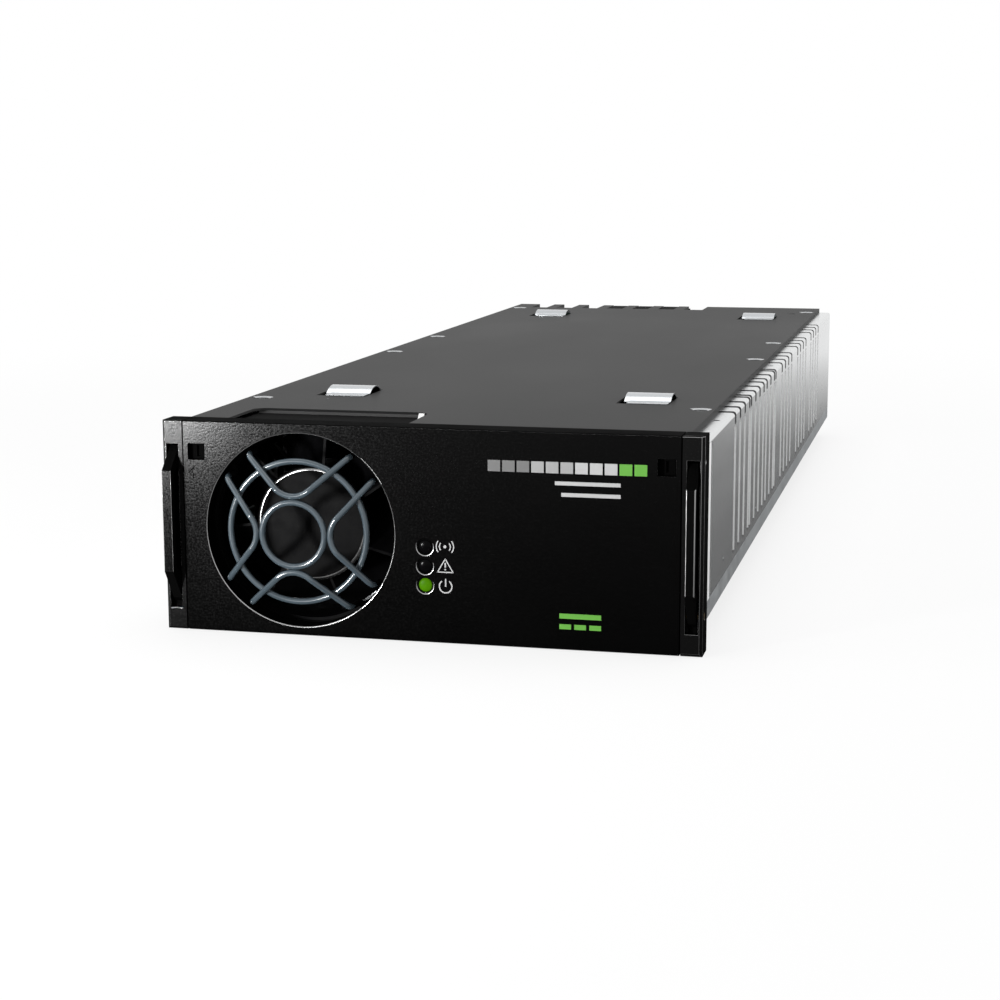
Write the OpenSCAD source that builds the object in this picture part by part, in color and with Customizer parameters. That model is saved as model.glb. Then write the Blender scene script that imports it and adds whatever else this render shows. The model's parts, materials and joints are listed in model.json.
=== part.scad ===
// Hot-plug rack UPS power module, two units high and half a rack wide.
// X runs across the bezel, Y runs from the bezel to the rear, Z is up.

/* [Bezel] */
// Width of the front bezel, half of a 19 inch rack
bezel_w = 218; // [205:1:230]
// Height of the front bezel, two rack units less clearance
bezel_h = 85.3; // [84:0.1:90]
// Depth of the front bezel
bezel_t = 12.4; // [11.6:0.1:16]
// Thickness of the bezel's front skin
skin_t = 2.4; // [1.6:0.1:3]
// Wall round the back of the bezel
bezel_wall = 2; // [1.5:0.1:3]
// Height of the solid apron below the chassis floor
apron_h = 11; // [8:0.5:12]
// Width of each end housing that holds a handle
end_w = 9; // [8.4:0.1:10]
// Chamfer on the outer front edges
edge_c = 1.2; // [0.4:0.1:2]

/* [Chassis] */
// Distance from the bezel face to the rear edge of the cover
case_depth = 619; // [600:1:700]
// Height of the chassis underside above the bezel's lower edge
floor_lift = 12.5; // [12:0.1:16]
// Thickness of the pan, frame, rear panel and cover sheet
sheet_t = 1; // [0.8:0.1:1.4]
// Thickness of the side panels
side_t = 1.2; // [1:0.1:1.6]
// Height of the strip that the pan shows below each side panel
strip_h = 6.9; // [5:0.1:9]
// Height of the pan's upstand inside each side panel
upstand_h = 14; // [8:1:20]
// Drop from the bezel's upper edge to the cover
cover_drop = 0.3; // [0:0.1:1]
// Drop from the cover's upper face to the side flanges
flange_drop = 2.6; // [2.2:0.1:4]
// Width of each side panel's top flange
flange_w = 16; // [14:0.5:16]
// Bare width of flange outside the cover's edge
flange_bare = 7; // [5:0.5:9]
// Radius of the side panels' top bend
bend_r = 1.5; // [1.3:0.1:4]
// Distance from the cover's rear edge to the rear panel
rear_inset = 27; // [20:1:40]

/* [Side slots] */
// Distance between neighbouring slots of a group
slot_pitch = 17.5; // [14:0.5:20]
// Length of a slot along the side
slot_w = 5; // [3:0.1:6]
// How far the slots run down the side from the flange
slot_drop = 4.9; // [3:0.1:10]
// Depth of the groove below each slot
groove_d = 0.7; // [0.3:0.1:0.8]
// Width of the bright front strip on each side
strip_w = 6; // [4:0.5:8]
// Gap between the front strip and the side panel
strip_gap = 4; // [2:0.5:6]

/* [Cover] */
// Width of the cut-out over the fan
recess_w = 75.5; // [60:0.5:80]
// Distance from the bezel's back to the cut-out's rear edge
recess_l = 34.6; // [20:0.1:40]
// Corner radius of the fan cut-out
recess_r = 6; // [2:0.5:10]
// Distance from the bezel's ends to the rows of cover screws
cover_screw_in = 13; // [12:0.5:14]
// Distance from one rear tab to the next
tab_pitch = 17.23; // [15:0.1:20]
// Width of a rear tab
tab_w = 6.7; // [5:0.1:9]
// Depth of the flange folded down beside each tab
tab_fold = 3.2; // [2:0.1:6]

/* [Contact springs] */
// Width of a contact spring
clip_w = 20; // [14:1:26]
// Height of a contact spring above the cover
clip_h = 2.9; // [2.2:0.1:4]
// Strip thickness of a contact spring
clip_t = 0.5; // [0.3:0.1:0.8]
// Length of a contact spring's arch along the case
clip_l = 18; // [14:0.5:22]
// Length of the lip in front of a contact spring's arch
clip_lip = 8.5; // [6:0.5:10]
// Distance from the bezel's ends to the contact springs, both sides on average
clip_in = 42.2; // [36:0.2:66]
// How far the contact springs stand to the right of the middle
clip_shift = 3.8; // [0:0.2:6]

/* [Handles] */
// Width of the slot that each handle lies in
grip_slot_w = 5.1; // [4.4:0.1:5.4]
// Height of the slot's lower end
grip_slot_z = 8.8; // [6:0.1:9]
// Distance from the slot's upper end to the bezel's upper edge
grip_slot_top = 9.3; // [6:0.1:12]
// Thickness of a handle
grip_t = 3.8; // [3:0.1:4]
// How far a handle stands out of the bezel
grip_out = 7; // [5:0.5:9]
// Depth of a handle's bar
grip_bar = 3.3; // [2.5:0.1:4]
// Radius of a handle's hinge pin
pin_r = 1.5; // [1:0.1:2]
// Radial clearance between a hinge pin and its handle
pin_fit = 0.05; // [0.02:0.01:0.1]
// Radius of a handle's hub
hub_r = 4.5; // [3.5:0.1:4.6]
// Distance from the bezel face to a handle's hinge
hinge_y = 5.3; // [5:0.1:6]
// Height of a handle's hinge
hinge_z = 15.1; // [14:0.1:16]
// Length of the toe below a handle's hinge
toe_l = 12.4; // [10:0.1:12.6]
// Width of the toe
toe_w = 4.4; // [3:0.1:5]

/* [Release catches] */
// Width of the square window in front of a catch
window_w = 7.2; // [5:0.1:8]
// Height of the window
window_h = 6.7; // [5:0.1:8]
// Distance from the bezel's end to the window's middle
window_in = 14.4; // [13.6:0.1:17]
// Distance from the window's middle to the bezel's upper edge
window_drop = 12.3; // [10:0.1:15]
// Travel of a catch
catch_travel = 2.5; // [1:0.1:3]
// Radius of a catch spring
catch_spring_r = 2.2; // [1.5:0.1:2.6]
// Wire of a catch spring
catch_wire = 0.5; // [0.3:0.05:0.6]

/* [Fan] */
// Bezel left above and below the square fan
fan_margin = 2.65; // [2.5:0.05:6]
// Thickness of the fan
fan_t = 32; // [25:1:33]
// Distance from the bezel's left end to the fan
fan_side = 17; // [16.5:0.5:20]
// How far the bezel laps over the fan's edge at the round inlet
inlet_lap = 1; // [0.5:0.1:3]
// Least wall of the fan's duct
duct_wall = 1.8; // [1.5:0.1:4]
// Distance from the fan's edge to its screws
fan_screw_in = 4.25; // [4:0.05:4.5]
// Radius of the rotor's hub
rotor_hub_r = 23.5; // [18:0.5:26]
// Gap between the rotor's blades and the duct
tip_gap = 1; // [0.5:0.1:3]
// Number of blades
blade_n = 7; // [5:1:9]
// Radius of the rotor's shaft
shaft_r = 1.5; // [1:0.1:2.5]

/* [Fan guard] */
// Wire radius of the guard
wire_r = 1.25; // [1:0.05:1.5]
// Middle radius of the guard's inner ring
ring_in_r = 12.8; // [10:0.1:14]
// Middle radius of the guard's outer ring
ring_out_r = 28.2; // [24:0.1:30]
// How far the middle of the guard stands out of the bezel
guard_out = 8; // [6:0.5:10]
// How far the ends of the guard's legs stand out of the bezel
guard_rim = 0.6; // [0:0.1:2]
// Spread of each guard wire's two legs at their ends
leg_u = 20.8; // [18:0.1:22]
// Gap between the inlet's edge and the middle of the legs' ends
leg_gap = 2.4; // [1.5:0.1:4]

/* [Status lamps] */
// Distance between neighbouring lamps
lamp_pitch = 7.65; // [7:0.05:9]
// Height of the lowest lamp
lamp_z = 23.1; // [18:0.1:30]
// Radius of a lamp's lens
lamp_r = 2.75; // [2:0.05:3]
// Radius of the dish round each lens
dish_r = 3.65; // [3.2:0.05:3.75]

/* [Electronics] */
// Height of the spacers under the main board
spacer_h = 6; // [4:0.5:10]
// Thickness of a circuit board
board_t = 1.6; // [1:0.1:2.4]
// Diameter of a bulk capacitor
cap_d = 35; // [25:1:36]
// Gap between the bulk capacitors and the cover's face
cap_gap = 13.9; // [12:0.1:30]
// Gap between the heatsinks and the cover's face
sink_gap = 9.9; // [8:0.1:30]
// Width of the rear connector
conn_w = 54; // [40:1:56]
// Height of the rear connector
conn_h = 36; // [20:1:44]
// How far the connector stands out behind the cover
conn_out = 2; // [0:0.5:6]

/* [Hidden] */
$fn = 48;

// Clearances and small features
fit = 0.3;
press = 0.02;
eps = 0.01;

// Heights
cover_z = bezel_h - cover_drop;
flange_z = cover_z - flange_drop;
floor_z = floor_lift + sheet_t;
strip_z = floor_lift + strip_h;
board_z = floor_z + spacer_h;
top_z = board_z + board_t;
sink_h = cover_z - top_z - sink_gap;
cap_h = cover_z - top_z - cap_gap;
control_h = cover_z - top_z - 11.9;

// Distances across
half_w = bezel_w / 2;
side_x = half_w - side_t;
fan_w = bezel_h - 2 * fan_margin;
fan_x = fan_side + fan_w / 2 - half_w;
fan_end_x = fan_x + fan_w / 2;
cover_screw_x = half_w - cover_screw_in;
clip_x = half_w - clip_in;
cover_half = half_w - flange_bare;
flange_x = half_w - flange_w;
seam_x = half_w - end_w;
grip_x = half_w - end_w / 2 + 0.25;
window_x = half_w - window_in;
control_x = half_w - 21;

// Distances behind the bezel face
frame_y = bezel_t + sheet_t;
panel_y = bezel_t + strip_w + strip_gap;
rear_y = case_depth - rear_inset;
fan_y = frame_y + 0.2;
fan_z = bezel_h / 2;
window_z = bezel_h - window_drop;
inlet_r = fan_w / 2 - inlet_lap;
duct_r = fan_w / 2 - duct_wall;
fan_pitch = fan_w - 2 * fan_screw_in;
rotor_tip_r = duct_r - tip_gap;
guard_y = -guard_out - wire_r;
front_y = -(case_depth + conn_out + guard_y) / 2;

// Patterns along the sides: first position and number of slots in each group
slot_groups = [[98, 4], [157.5, 4], [224, 3], [266, 1], [298, 4], [case_depth - 233, 4],
    [case_depth - 146, 4]];
screw_ys = [81, 285, 373, case_depth - 33];
clip_ys = [109.5, case_depth - 80];
lamp_x = fan_end_x + 11.6;
tab_first = 20 - half_w;
tab_n = 6;
tab_gap_last = 12.6;

// Basic shapes
module in_place() {
    translate([0, front_y, 0]) children();
}
module box(x, y, z) {
    translate([x[0], y[0], z[0]]) cube([x[1] - x[0], y[1] - y[0], z[1] - z[0]]);
}
module rod_x(r, x, y, z) {
    translate([x[0], y, z]) rotate([0, 90, 0]) cylinder(r = r, h = x[1] - x[0]);
}
module rod_y(r, x, y, z) {
    translate([x, y[0], z]) rotate([-90, 0, 0]) cylinder(r = r, h = y[1] - y[0]);
}
module rod_z(r, x, y, z) {
    translate([x, y, z[0]]) cylinder(r = r, h = z[1] - z[0]);
}
module on_side(s) {
    mirror([s < 0 ? 1 : 0, 0, 0]) children();
}
// A straight length along Y of a shape drawn in X and Z
module length_y(y) {
    translate([0, y[1], 0]) rotate([90, 0, 0]) linear_extrude(y[1] - y[0]) children();
}
// A straight length along X of a shape drawn in Y and Z
module length_x(x) {
    translate([x[0], 0, 0]) rotate([90, 0, 90]) linear_extrude(x[1] - x[0]) children();
}

// Screws: a head and a shank along Z, the head's top at z = 0
screw_r = 1.5;
head_r = 2.8;
head_h = 1.3;
module pan_screw(length) {
    cylinder(r = head_r, h = head_h + eps);
    translate([0, 0, -length]) cylinder(r = screw_r, h = length + eps);
}
module flat_screw(length) {
    difference() {
        union() {
            translate([0, 0, -head_h]) cylinder(r1 = screw_r, r2 = head_r, h = head_h);
            translate([0, 0, -length]) cylinder(r = screw_r, h = length - head_h + eps);
        }
        translate([0, 0, -0.7]) cylinder(r = 0.9, h = 1);
    }
}

// ---- Chassis ----
fan_gap = 1.2;
fan_cut_x = [fan_x - fan_w / 2 - fan_gap, fan_x + fan_w / 2 + fan_gap];
fan_cut_y = [bezel_t, fan_y + fan_t + fan_gap];
cradle_z = fan_z - fan_w / 2;
fan_top_x = -fan_x + fan_w / 2 + 1;
spacer_xs = [8 - half_w, -34, 36, half_w - 8];
spacer_ys = [66, 230, rear_y - 192, rear_y - 26];
rivet_ys = [60, 180, 304, case_depth - 169, case_depth - 59];
rivet_r = 1.6;
rivet_z = strip_z + upstand_h / 2;
toe_gap = 0.9;

module chassis_pan() {
    color("#a8a8a8") in_place() difference() {
        union() {
            box([-half_w, half_w], [bezel_t, case_depth], [floor_lift, floor_z]);
            for (s = [-1, 1]) on_side(s) {
                box([half_w - sheet_t, half_w], [bezel_t, case_depth], [floor_lift, strip_z]);
                box([side_x - sheet_t, half_w], [bezel_t, case_depth], [strip_z - sheet_t, strip_z]);
                box([side_x - sheet_t, side_x], [panel_y, case_depth],
                    [strip_z - sheet_t, strip_z + upstand_h]);
            }
            // Cradle that carries the lower edge of the fan
            box([fan_cut_x[0] - sheet_t, fan_cut_x[1] + sheet_t], [bezel_t + sheet_t, fan_cut_y[1] + sheet_t],
                [cradle_z - sheet_t, floor_z]);
        }
        box(fan_cut_x, [bezel_t - 1, fan_cut_y[1]], [cradle_z, floor_z + 1]);
        for (s = [-1, 1]) on_side(s)
            box([grip_x - grip_t / 2 - toe_gap, grip_x + grip_t / 2 + toe_gap], [bezel_t - 1, panel_y],
                [floor_lift - 1, floor_z + 1]);
        for (x = spacer_xs, y = spacer_ys) rod_z(screw_r, x, y, [floor_lift - 1, floor_z + 1]);
        for (s = [-1, 1], y = rivet_ys) on_side(s)
            rod_x(rivet_r, [side_x - sheet_t - 1, half_w], y, rivet_z);
    }
}

module side_outline() {
    difference() {
        union() {
            translate([side_x, strip_z]) square([side_t, flange_z - bend_r - strip_z]);
            translate([flange_x, flange_z - side_t]) square([flange_w - bend_r, side_t]);
            translate([half_w - bend_r, flange_z - bend_r]) circle(r = bend_r);
        }
        translate([half_w - bend_r, flange_z - bend_r]) circle(r = bend_r - side_t);
        translate([flange_x - 1, strip_z - 1])
            square([side_x - flange_x + 1, flange_z - bend_r - strip_z + 1 - eps]);
        translate([flange_x - 1, strip_z])
            square([half_w - bend_r - flange_x + 1, flange_z - side_t - strip_z]);
    }
}
groove_z = [strip_z + 0.9, flange_z - slot_drop - 1];
// One slot over the bend and the groove below it, far edge at y
module side_slot(y) {
    box([cover_half - 1.5, half_w + 1], [y - slot_w, y], [flange_z - slot_drop, flange_z + 1]);
    box([half_w - groove_d, half_w + 1], [y - slot_w - 1, y + 0.5],
        [groove_z[0] + slot_w / 2, groove_z[1]]);
    rod_x(slot_w / 2 + 0.75, [half_w - groove_d, half_w + 1], y - slot_w / 2 - 0.25,
        groove_z[0] + slot_w / 2 + 0.75);
}
module side_panel() {
    difference() {
        length_y([bezel_t, case_depth]) side_outline();
        box([side_x - bend_r, half_w + 1], [bezel_t - 1, panel_y], [strip_z - 1, flange_z - bend_r]);
        for (g = slot_groups, i = [0 : g[1] - 1]) side_slot(g[0] + i * slot_pitch);
        for (y = [68, 280]) rod_z(1.5, cover_half + 2.4, y, [flange_z - side_t - 1, flange_z + 1]);
        for (y = screw_ys) rod_z(screw_r, cover_screw_x, y, [flange_z - side_t - 1, flange_z + 1]);
        for (y = rivet_ys) rod_x(rivet_r, [side_x - 1, half_w + 1], y, rivet_z);
        box([flange_x - 1, fan_top_x], [bezel_t - 1, fan_cut_y[1]], [flange_z - side_t - 1, flange_z + 1]);
    }
}
module left_side_panel() {
    color("#d8d8d8") in_place() on_side(-1) side_panel();
}
module right_side_panel() {
    color("#d8d8d8") in_place() side_panel();
}

// Cover: a plate with low edges, seated on the side flanges
recess_x = [fan_x + fan_w / 2 + 1.5 - recess_w, fan_x + fan_w / 2 + 1.5];
boss_r = 4.2;
dimple_r = 4.9;
dimple_h = 0.5;
function tab_edge(k) = tab_first + k * tab_pitch;
module recess_cut() {
    box(recess_x, [bezel_t - 1, bezel_t + recess_l - recess_r], [flange_z - 1, cover_z + 1]);
    box([recess_x[0] + recess_r, recess_x[1] - recess_r], [bezel_t, bezel_t + recess_l],
        [flange_z - 1, cover_z + 1]);
    for (x = [recess_x[0] + recess_r, recess_x[1] - recess_r])
        rod_z(recess_r, x, bezel_t + recess_l - recess_r, [flange_z - 1, cover_z + 1]);
}
module top_cover() {
    color("#626262") in_place() difference() {
        union() {
            box([-cover_half, cover_half], [bezel_t, case_depth], [cover_z - sheet_t, cover_z]);
            for (s = [-1, 1]) on_side(s) {
                box([cover_half - sheet_t, cover_half], [bezel_t, case_depth], [flange_z, cover_z]);
                for (y = screw_ys) rod_z(boss_r, cover_screw_x, y, [flange_z, cover_z]);
            }
            for (k = [0 : tab_n]) box([tab_edge(k) - sheet_t, tab_edge(k)],
                [rear_y + 1, case_depth], [cover_z - sheet_t - tab_fold, cover_z]);
        }
        recess_cut();
        for (k = [1 : tab_n]) box([tab_edge(k - 1), tab_edge(k) - tab_w], [rear_y, case_depth + 1],
            [flange_z - 2, cover_z + 1]);
        box([tab_edge(tab_n), tab_edge(tab_n) + tab_gap_last], [rear_y, case_depth + 1],
            [flange_z - 2, cover_z + 1]);
        for (s = [-1, 1], y = screw_ys) on_side(s) translate([cover_screw_x, y, 0]) {
            rod_z(screw_r + 0.1, 0, 0, [flange_z - 1, cover_z]);
            translate([0, 0, cover_z - dimple_h - head_h - 0.3])
                cylinder(r1 = screw_r + press, r2 = head_r + 0.3 + press + eps, h = head_h + 0.3 + eps);
            translate([0, 0, cover_z - dimple_h])
                cylinder(r1 = head_r + 0.4, r2 = dimple_r, h = dimple_h + eps);
        }
        for (s = [-1, 1], y = clip_ys) translate([clip_shift + s * clip_x, y, 0])
            box([-clip_w / 2 - clip_bare, clip_w / 2 + fit], clip_open_y, [cover_z - 2, cover_z + 1]);
        box(tool_slot_x, tool_slot_y, [cover_z - 2, cover_z + 1]);
    }
}
tool_slot_x = [half_w - 23.5, half_w - 19];
tool_slot_y = [case_depth - 47, case_depth - 44.8];

vent_pitch = 14;
vent_r = 3.5;
vent_h = 11;
vent_xs = concat([for (i = [0 : 2]) 17 - half_w + i * vent_pitch],
    [for (i = [0 : 3]) half_w - 23 - i * vent_pitch]);
vent_zs = [floor_z + 12, floor_z + 34];
ear_x = conn_w / 2 + 5;
module rear_panel() {
    color("#b4b4b4") in_place() difference() {
        union() {
            box([-side_x + sheet_t + fit, side_x - sheet_t - fit], [rear_y, rear_y + sheet_t],
                [floor_z, cover_z - sheet_t]);
            // Foot that is fastened to the floor of the pan
            box([-side_x + sheet_t + fit, side_x - sheet_t - fit], [rear_y, rear_y + 10],
                [floor_z, floor_z + sheet_t]);
        }
        box([conn_x - conn_w / 2 - fit, conn_x + conn_w / 2 + fit], [rear_y - 1, rear_y + 2],
            [conn_z[0] - fit, conn_z[1] + 1]);
        for (x = vent_xs, z = vent_zs) {
            box([x - vent_r, x + vent_r], [rear_y - 1, rear_y + 2], [z, z + vent_h]);
            for (dz = [0, vent_h]) rod_y(vent_r, x, [rear_y - 1, rear_y + 2], z + dz);
        }
        for (s = [-1, 1]) rod_y(screw_r, conn_x + s * ear_x, [rear_y - 1, rear_y + 2], ear_z);
        // Corners clear of the side flanges and the pan's upstands
        for (s = [-1, 1]) on_side(s)
            box([flange_x - fit, side_x], [rear_y - 1, rear_y + 2], [flange_z - side_t - fit, cover_z]);
    }
}

frame_hole_r = inlet_r + 0.5;
bezel_screw_x = seam_x - 4;
bezel_screw_pts = [[-bezel_screw_x, 24], [-bezel_screw_x, 50], [fan_end_x + 14, bezel_h - 11.3],
    [fan_end_x + 42, 18], [bezel_screw_x, 24], [bezel_screw_x, 50]];
ribbon_window = [[fan_end_x + 38, fan_end_x + 56], [30, 52]];
module front_frame() {
    color("#f0f0f0") in_place() difference() {
        union() {
            box([-side_x, side_x], [bezel_t, frame_y], [floor_z + 7, flange_z - bend_r]);
            box([bend_r - half_w, half_w - bend_r], [bezel_t, frame_y],
                [floor_z + 7, flange_z - side_t - fit]);
            box([fan_cut_x[0] + 0.4, seam_x - 2], [bezel_t, frame_y], [floor_z, floor_z + 8]);
            box([fan_cut_x[0] + 0.4, fan_cut_x[1] - 0.4], [bezel_t, frame_y], [cradle_z + 0.2, floor_z + 8]);
            for (s = [-1, 1]) on_side(s)
                box([half_w - sheet_t, half_w], [bezel_t, bezel_t + strip_w],
                    [strip_z, flange_z - bend_r]);
            for (s = [-1, 1]) on_side(s)
                box([side_x - 1, half_w], [bezel_t, frame_y], [floor_z + 7, flange_z - bend_r]);
        }
        rod_y(frame_hole_r, fan_x, [bezel_t - 1, frame_y + 1], fan_z);
        for (sx = [-1, 1], sz = [-1, 1])
            rod_y(screw_r + 0.7, fan_x + sx * fan_pitch / 2, [bezel_t - 1, frame_y + 1],
                fan_z + sz * fan_pitch / 2);
        for (p = bezel_screw_pts) rod_y(screw_r + 0.1, p[0], [bezel_t - 1, frame_y + 1], p[1]);
        box(ribbon_window[0], [bezel_t - 1, frame_y + 1], ribbon_window[1]);
    }
}

// ---- Bezel ----
collar_l = bezel_t - 4;
lamp_zs = [lamp_z + 2 * lamp_pitch, lamp_z + lamp_pitch, lamp_z];
display_x = [fan_end_x + 4, fan_end_x + 36];
display_z = [apron_h + 3, apron_h + 51];
display_y = bezel_t - 3.8;
display_screw_pts = [[display_x[0] + 4, display_z[1] - 5], [display_x[1] - 4, display_z[0] + 4]];

// Outline of the bezel seen from its end, with its two front edges cut
module bezel_outline() {
    polygon([[0, edge_c], [edge_c, 0], [bezel_t, 0], [bezel_t, bezel_h], [edge_c, bezel_h],
        [0, bezel_h - edge_c]]);
}
catch_x = [window_x - window_w / 2 - 0.6, seam_x - bezel_wall - fit];
nest_back = bezel_t - 3 - fit;
catch_y = [skin_t + fit, nest_back - fit];
catch_z = [window_z - window_h / 2 - 2.2, window_z + window_h / 2 + catch_travel + 0.4];
nose_y = [catch_y[1] - 3.8, catch_y[1] - fit];
nose_z = [window_z - 1.5, window_z + 1.5];
spring_seat_z = catch_z[0] - 9.5;
rib_t = 1.4;
stop_pad_x = [fan_cut_x[1] + 40, seam_x - 10];
stop_pad_t = 0.4;
// Shelf below the spring, stop above the catch, guide beside it and lip behind it
module catch_nest() {
    across = [catch_x[0] - fit - rib_t, seam_x - eps];
    up = [spring_seat_z - rib_t, catch_z[1] + fit + rib_t];
    box(across, [edge_c, nest_back], [up[0], spring_seat_z]);
    box(across, [edge_c, nest_back], [catch_z[1] + fit, up[1]]);
    box([across[0], catch_x[0] - fit], [edge_c, nest_back], up);
    box([catch_x[1] - 4.7, across[1]], [nest_back - eps, nest_back + rib_t], up);
}
module nose_way(x) {
    box(x, [nose_y[0] - fit, nose_y[1] + fit], [nose_z[0] - catch_travel - fit, nose_z[1] + fit]);
}
module front_bezel() {
    color("#161616") in_place() difference() {
        union() {
            difference() {
                length_x([-seam_x, seam_x]) bezel_outline();
                box([-seam_x + bezel_wall, fan_cut_x[1] + 2], [skin_t, bezel_t + 1],
                    [bezel_wall, bezel_h - bezel_wall]);
                box([fan_cut_x[1], seam_x - bezel_wall], [skin_t, bezel_t + 1],
                    [apron_h, bezel_h - bezel_wall]);
            }
            rod_y(inlet_r + 2, fan_x, [edge_c, collar_l], fan_z);
            // Pad below the chassis that meets the shelf's front edge
            box(stop_pad_x, [bezel_t - 1, bezel_t + stop_pad_t], [1, apron_h - 1]);
            for (p = bezel_screw_pts) rod_y(3, p[0], [edge_c, bezel_t], p[1]);
            for (p = display_screw_pts) rod_y(2.8, p[0], [edge_c, display_y], p[1]);
            for (s = [-1, 1]) on_side(s) catch_nest();
        }
        rod_y(inlet_r, fan_x, [-1, bezel_t], fan_z);
        translate([fan_x, 0, fan_z]) rotate([-90, 0, 0])
            translate([0, 0, -eps]) cylinder(r1 = inlet_r + 0.8, r2 = inlet_r, h = 0.8);
        for (p = bezel_screw_pts) rod_y(screw_r + press, p[0], [skin_t, bezel_t + 1], p[1]);
        for (p = display_screw_pts) rod_y(screw_r + press, p[0], [skin_t, bezel_t], p[1]);
        for (z = lamp_zs) {
            rod_y(lamp_r + 0.1, lamp_x, [-1, skin_t + 1], z);
            rod_y(dish_r, lamp_x, [-1, 0.5], z);
        }
        for (s = [-1, 1]) on_side(s) {
            box([window_x - window_w / 2, window_x + window_w / 2], [-1, skin_t + eps],
                [window_z - window_h / 2, window_z + window_h / 2]);
            nose_way([seam_x - bezel_wall - 1, seam_x + 1]);
        }
    }
}

// End housing: a block with the handle's slot and a pocket for its toe
module handle_housing() {
    slot_x = [grip_x - grip_slot_w / 2, grip_x + grip_slot_w / 2];
    slot_z = [grip_slot_z, bezel_h - grip_slot_top];
    difference() {
        length_x([seam_x, half_w]) bezel_outline();
        translate([half_w, 0, bezel_h / 2]) rotate([0, 0, 45])
            cube([edge_c * sqrt(2), edge_c * sqrt(2), bezel_h + 2], center = true);
        box(slot_x, [-1, bezel_t - 1.4], slot_z);
        box(slot_x, [1.6, bezel_t + 1], [1.5, hinge_z + hub_r + 0.6]);
        rod_x(pin_r + press, [seam_x + 0.4, half_w + 1], hinge_y, hinge_z);
        nose_way([seam_x - 1, grip_x]);
        rod_x(0.9, [half_w - 0.5, half_w + 1], 2.9, bezel_h - 10);
    }
}
module left_handle_housing() {
    color("#141414") in_place() on_side(-1) handle_housing();
}
module right_handle_housing() {
    color("#141414") in_place() handle_housing();
}

// Handle: a bow from the hub at its foot to a tongue in the top of the slot
bow_z = [hinge_z + 9.9, bezel_h - 19.3];
module handle_outline() {
    back = -grip_out + grip_bar;
    tongue_z = bezel_h - grip_slot_top - 1;
    polygon([[-grip_out, bow_z[0]], [hinge_y - hub_r * 0.8, hinge_z - hub_r * 0.6],
        [hinge_y, hinge_z], [hinge_y + hub_r * 0.6, hinge_z + hub_r * 0.8],
        [back, bow_z[0] + 1.6], [back, bow_z[1] - 1.6], [8.5, tongue_z - 4.6], [8.5, tongue_z],
        [2.5, tongue_z], [-grip_out, bow_z[1]]]);
    translate([hinge_y, hinge_z]) circle(r = hub_r);
    translate([hinge_y - toe_w / 2, hinge_z - toe_l]) square([toe_w, toe_l]);
}
module handle() {
    difference() {
        length_x([grip_x - grip_t / 2, grip_x + grip_t / 2]) handle_outline();
        rod_x(pin_r + pin_fit, [seam_x, half_w], hinge_y, hinge_z);
    }
}
module left_handle() {
    color("#0d0d0d") in_place() on_side(-1) handle();
}
module right_handle() {
    color("#0d0d0d") in_place() handle();
}
module hinge_pin() {
    rod_x(pin_r, [seam_x + 0.5, half_w - 0.1], hinge_y, hinge_z);
}
module left_hinge_pin() {
    color("#8a6a3a") in_place() on_side(-1) hinge_pin();
}
module right_hinge_pin() {
    color("#8a6a3a") in_place() hinge_pin();
}

// Release catch behind the square window, sprung upwards
module catch() {
    difference() {
        box(catch_x, catch_y, catch_z);
        // Slot for a screwdriver's blade
        box([window_x - 0.6, window_x + 0.6], [0, catch_y[0] + 1], [window_z - 2.2, window_z + 2.2]);
    }
    box([catch_x[1] - eps, grip_x - grip_t / 2 - fit], nose_y, nose_z);
}
module left_catch() {
    color("#1e1e1e") in_place() on_side(-1) catch();
}
module right_catch() {
    color("#1e1e1e") in_place() catch();
}

// Round wire along a list of points, turned as little as possible from one to the next
function unit(v) = v / norm(v);
function tangents(p) = [for (i = [0 : len(p) - 1]) unit(p[min(i + 1, len(p) - 1)] - p[max(i - 1, 0)])];
function normals(t, n, i = 0) = i == len(t) ? []
    : let (m = unit(n - (n * t[i]) * t[i])) concat([m], normals(t, m, i + 1));
module wire(p, r, start = [0, 0, 1], n = 10) {
    t = tangents(p);
    m = normals(t, start);
    last = len(p) - 1;
    points = [for (i = [0 : last], j = [0 : n - 1]) let (a = 360 * j / n)
        p[i] + r * (cos(a) * m[i] + sin(a) * cross(t[i], m[i]))];
    sides = [for (i = [0 : last - 1], j = [0 : n - 1]) let (k = (j + 1) % n)
        [i * n + j, (i + 1) * n + j, (i + 1) * n + k, i * n + k]];
    ends = [[for (j = [0 : n - 1]) j], [for (j = [n - 1 : -1 : 0]) last * n + j]];
    polyhedron(points, concat(sides, ends), convexity = 6);
}
module catch_spring() {
    turns = 5;
    low = spring_seat_z + catch_wire;
    high = catch_z[0] - catch_wire;
    axis_x = (catch_x[0] + catch_x[1]) / 2;
    axis_y = (catch_y[0] + catch_y[1]) / 2;
    wire([for (i = [0 : 16 * turns]) let (a = 22.5 * i)
        [axis_x + catch_spring_r * cos(a), axis_y + catch_spring_r * sin(a),
            low + (high - low) * i / (16 * turns)]], catch_wire, n = 6);
}
module left_catch_spring() {
    color("#c8c8c8") in_place() on_side(-1) catch_spring();
}
module right_catch_spring() {
    color("#c8c8c8") in_place() catch_spring();
}

// ---- Fan guard ----
fan_screw_r = 2.1;
fan_head_r = 3.4;
leg_v = sqrt(pow(inlet_r - leg_gap, 2) - pow(leg_u, 2));
apex_v = ring_in_r + 2 * wire_r - 0.1;
leg_a = 41.5;
apex_r = (apex_v - (leg_v - leg_u * tan(leg_a))) * cos(leg_a) / (1 - cos(leg_a));
leg_back = bezel_t - 2;
eye_r = fan_margin + fan_screw_in - bezel_wall - fit;
eye_y = [leg_back + 0.6, bezel_t - fit];
foot = [fan_pitch / 2 - 3.5, fan_pitch / 2 - 1.4];
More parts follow.
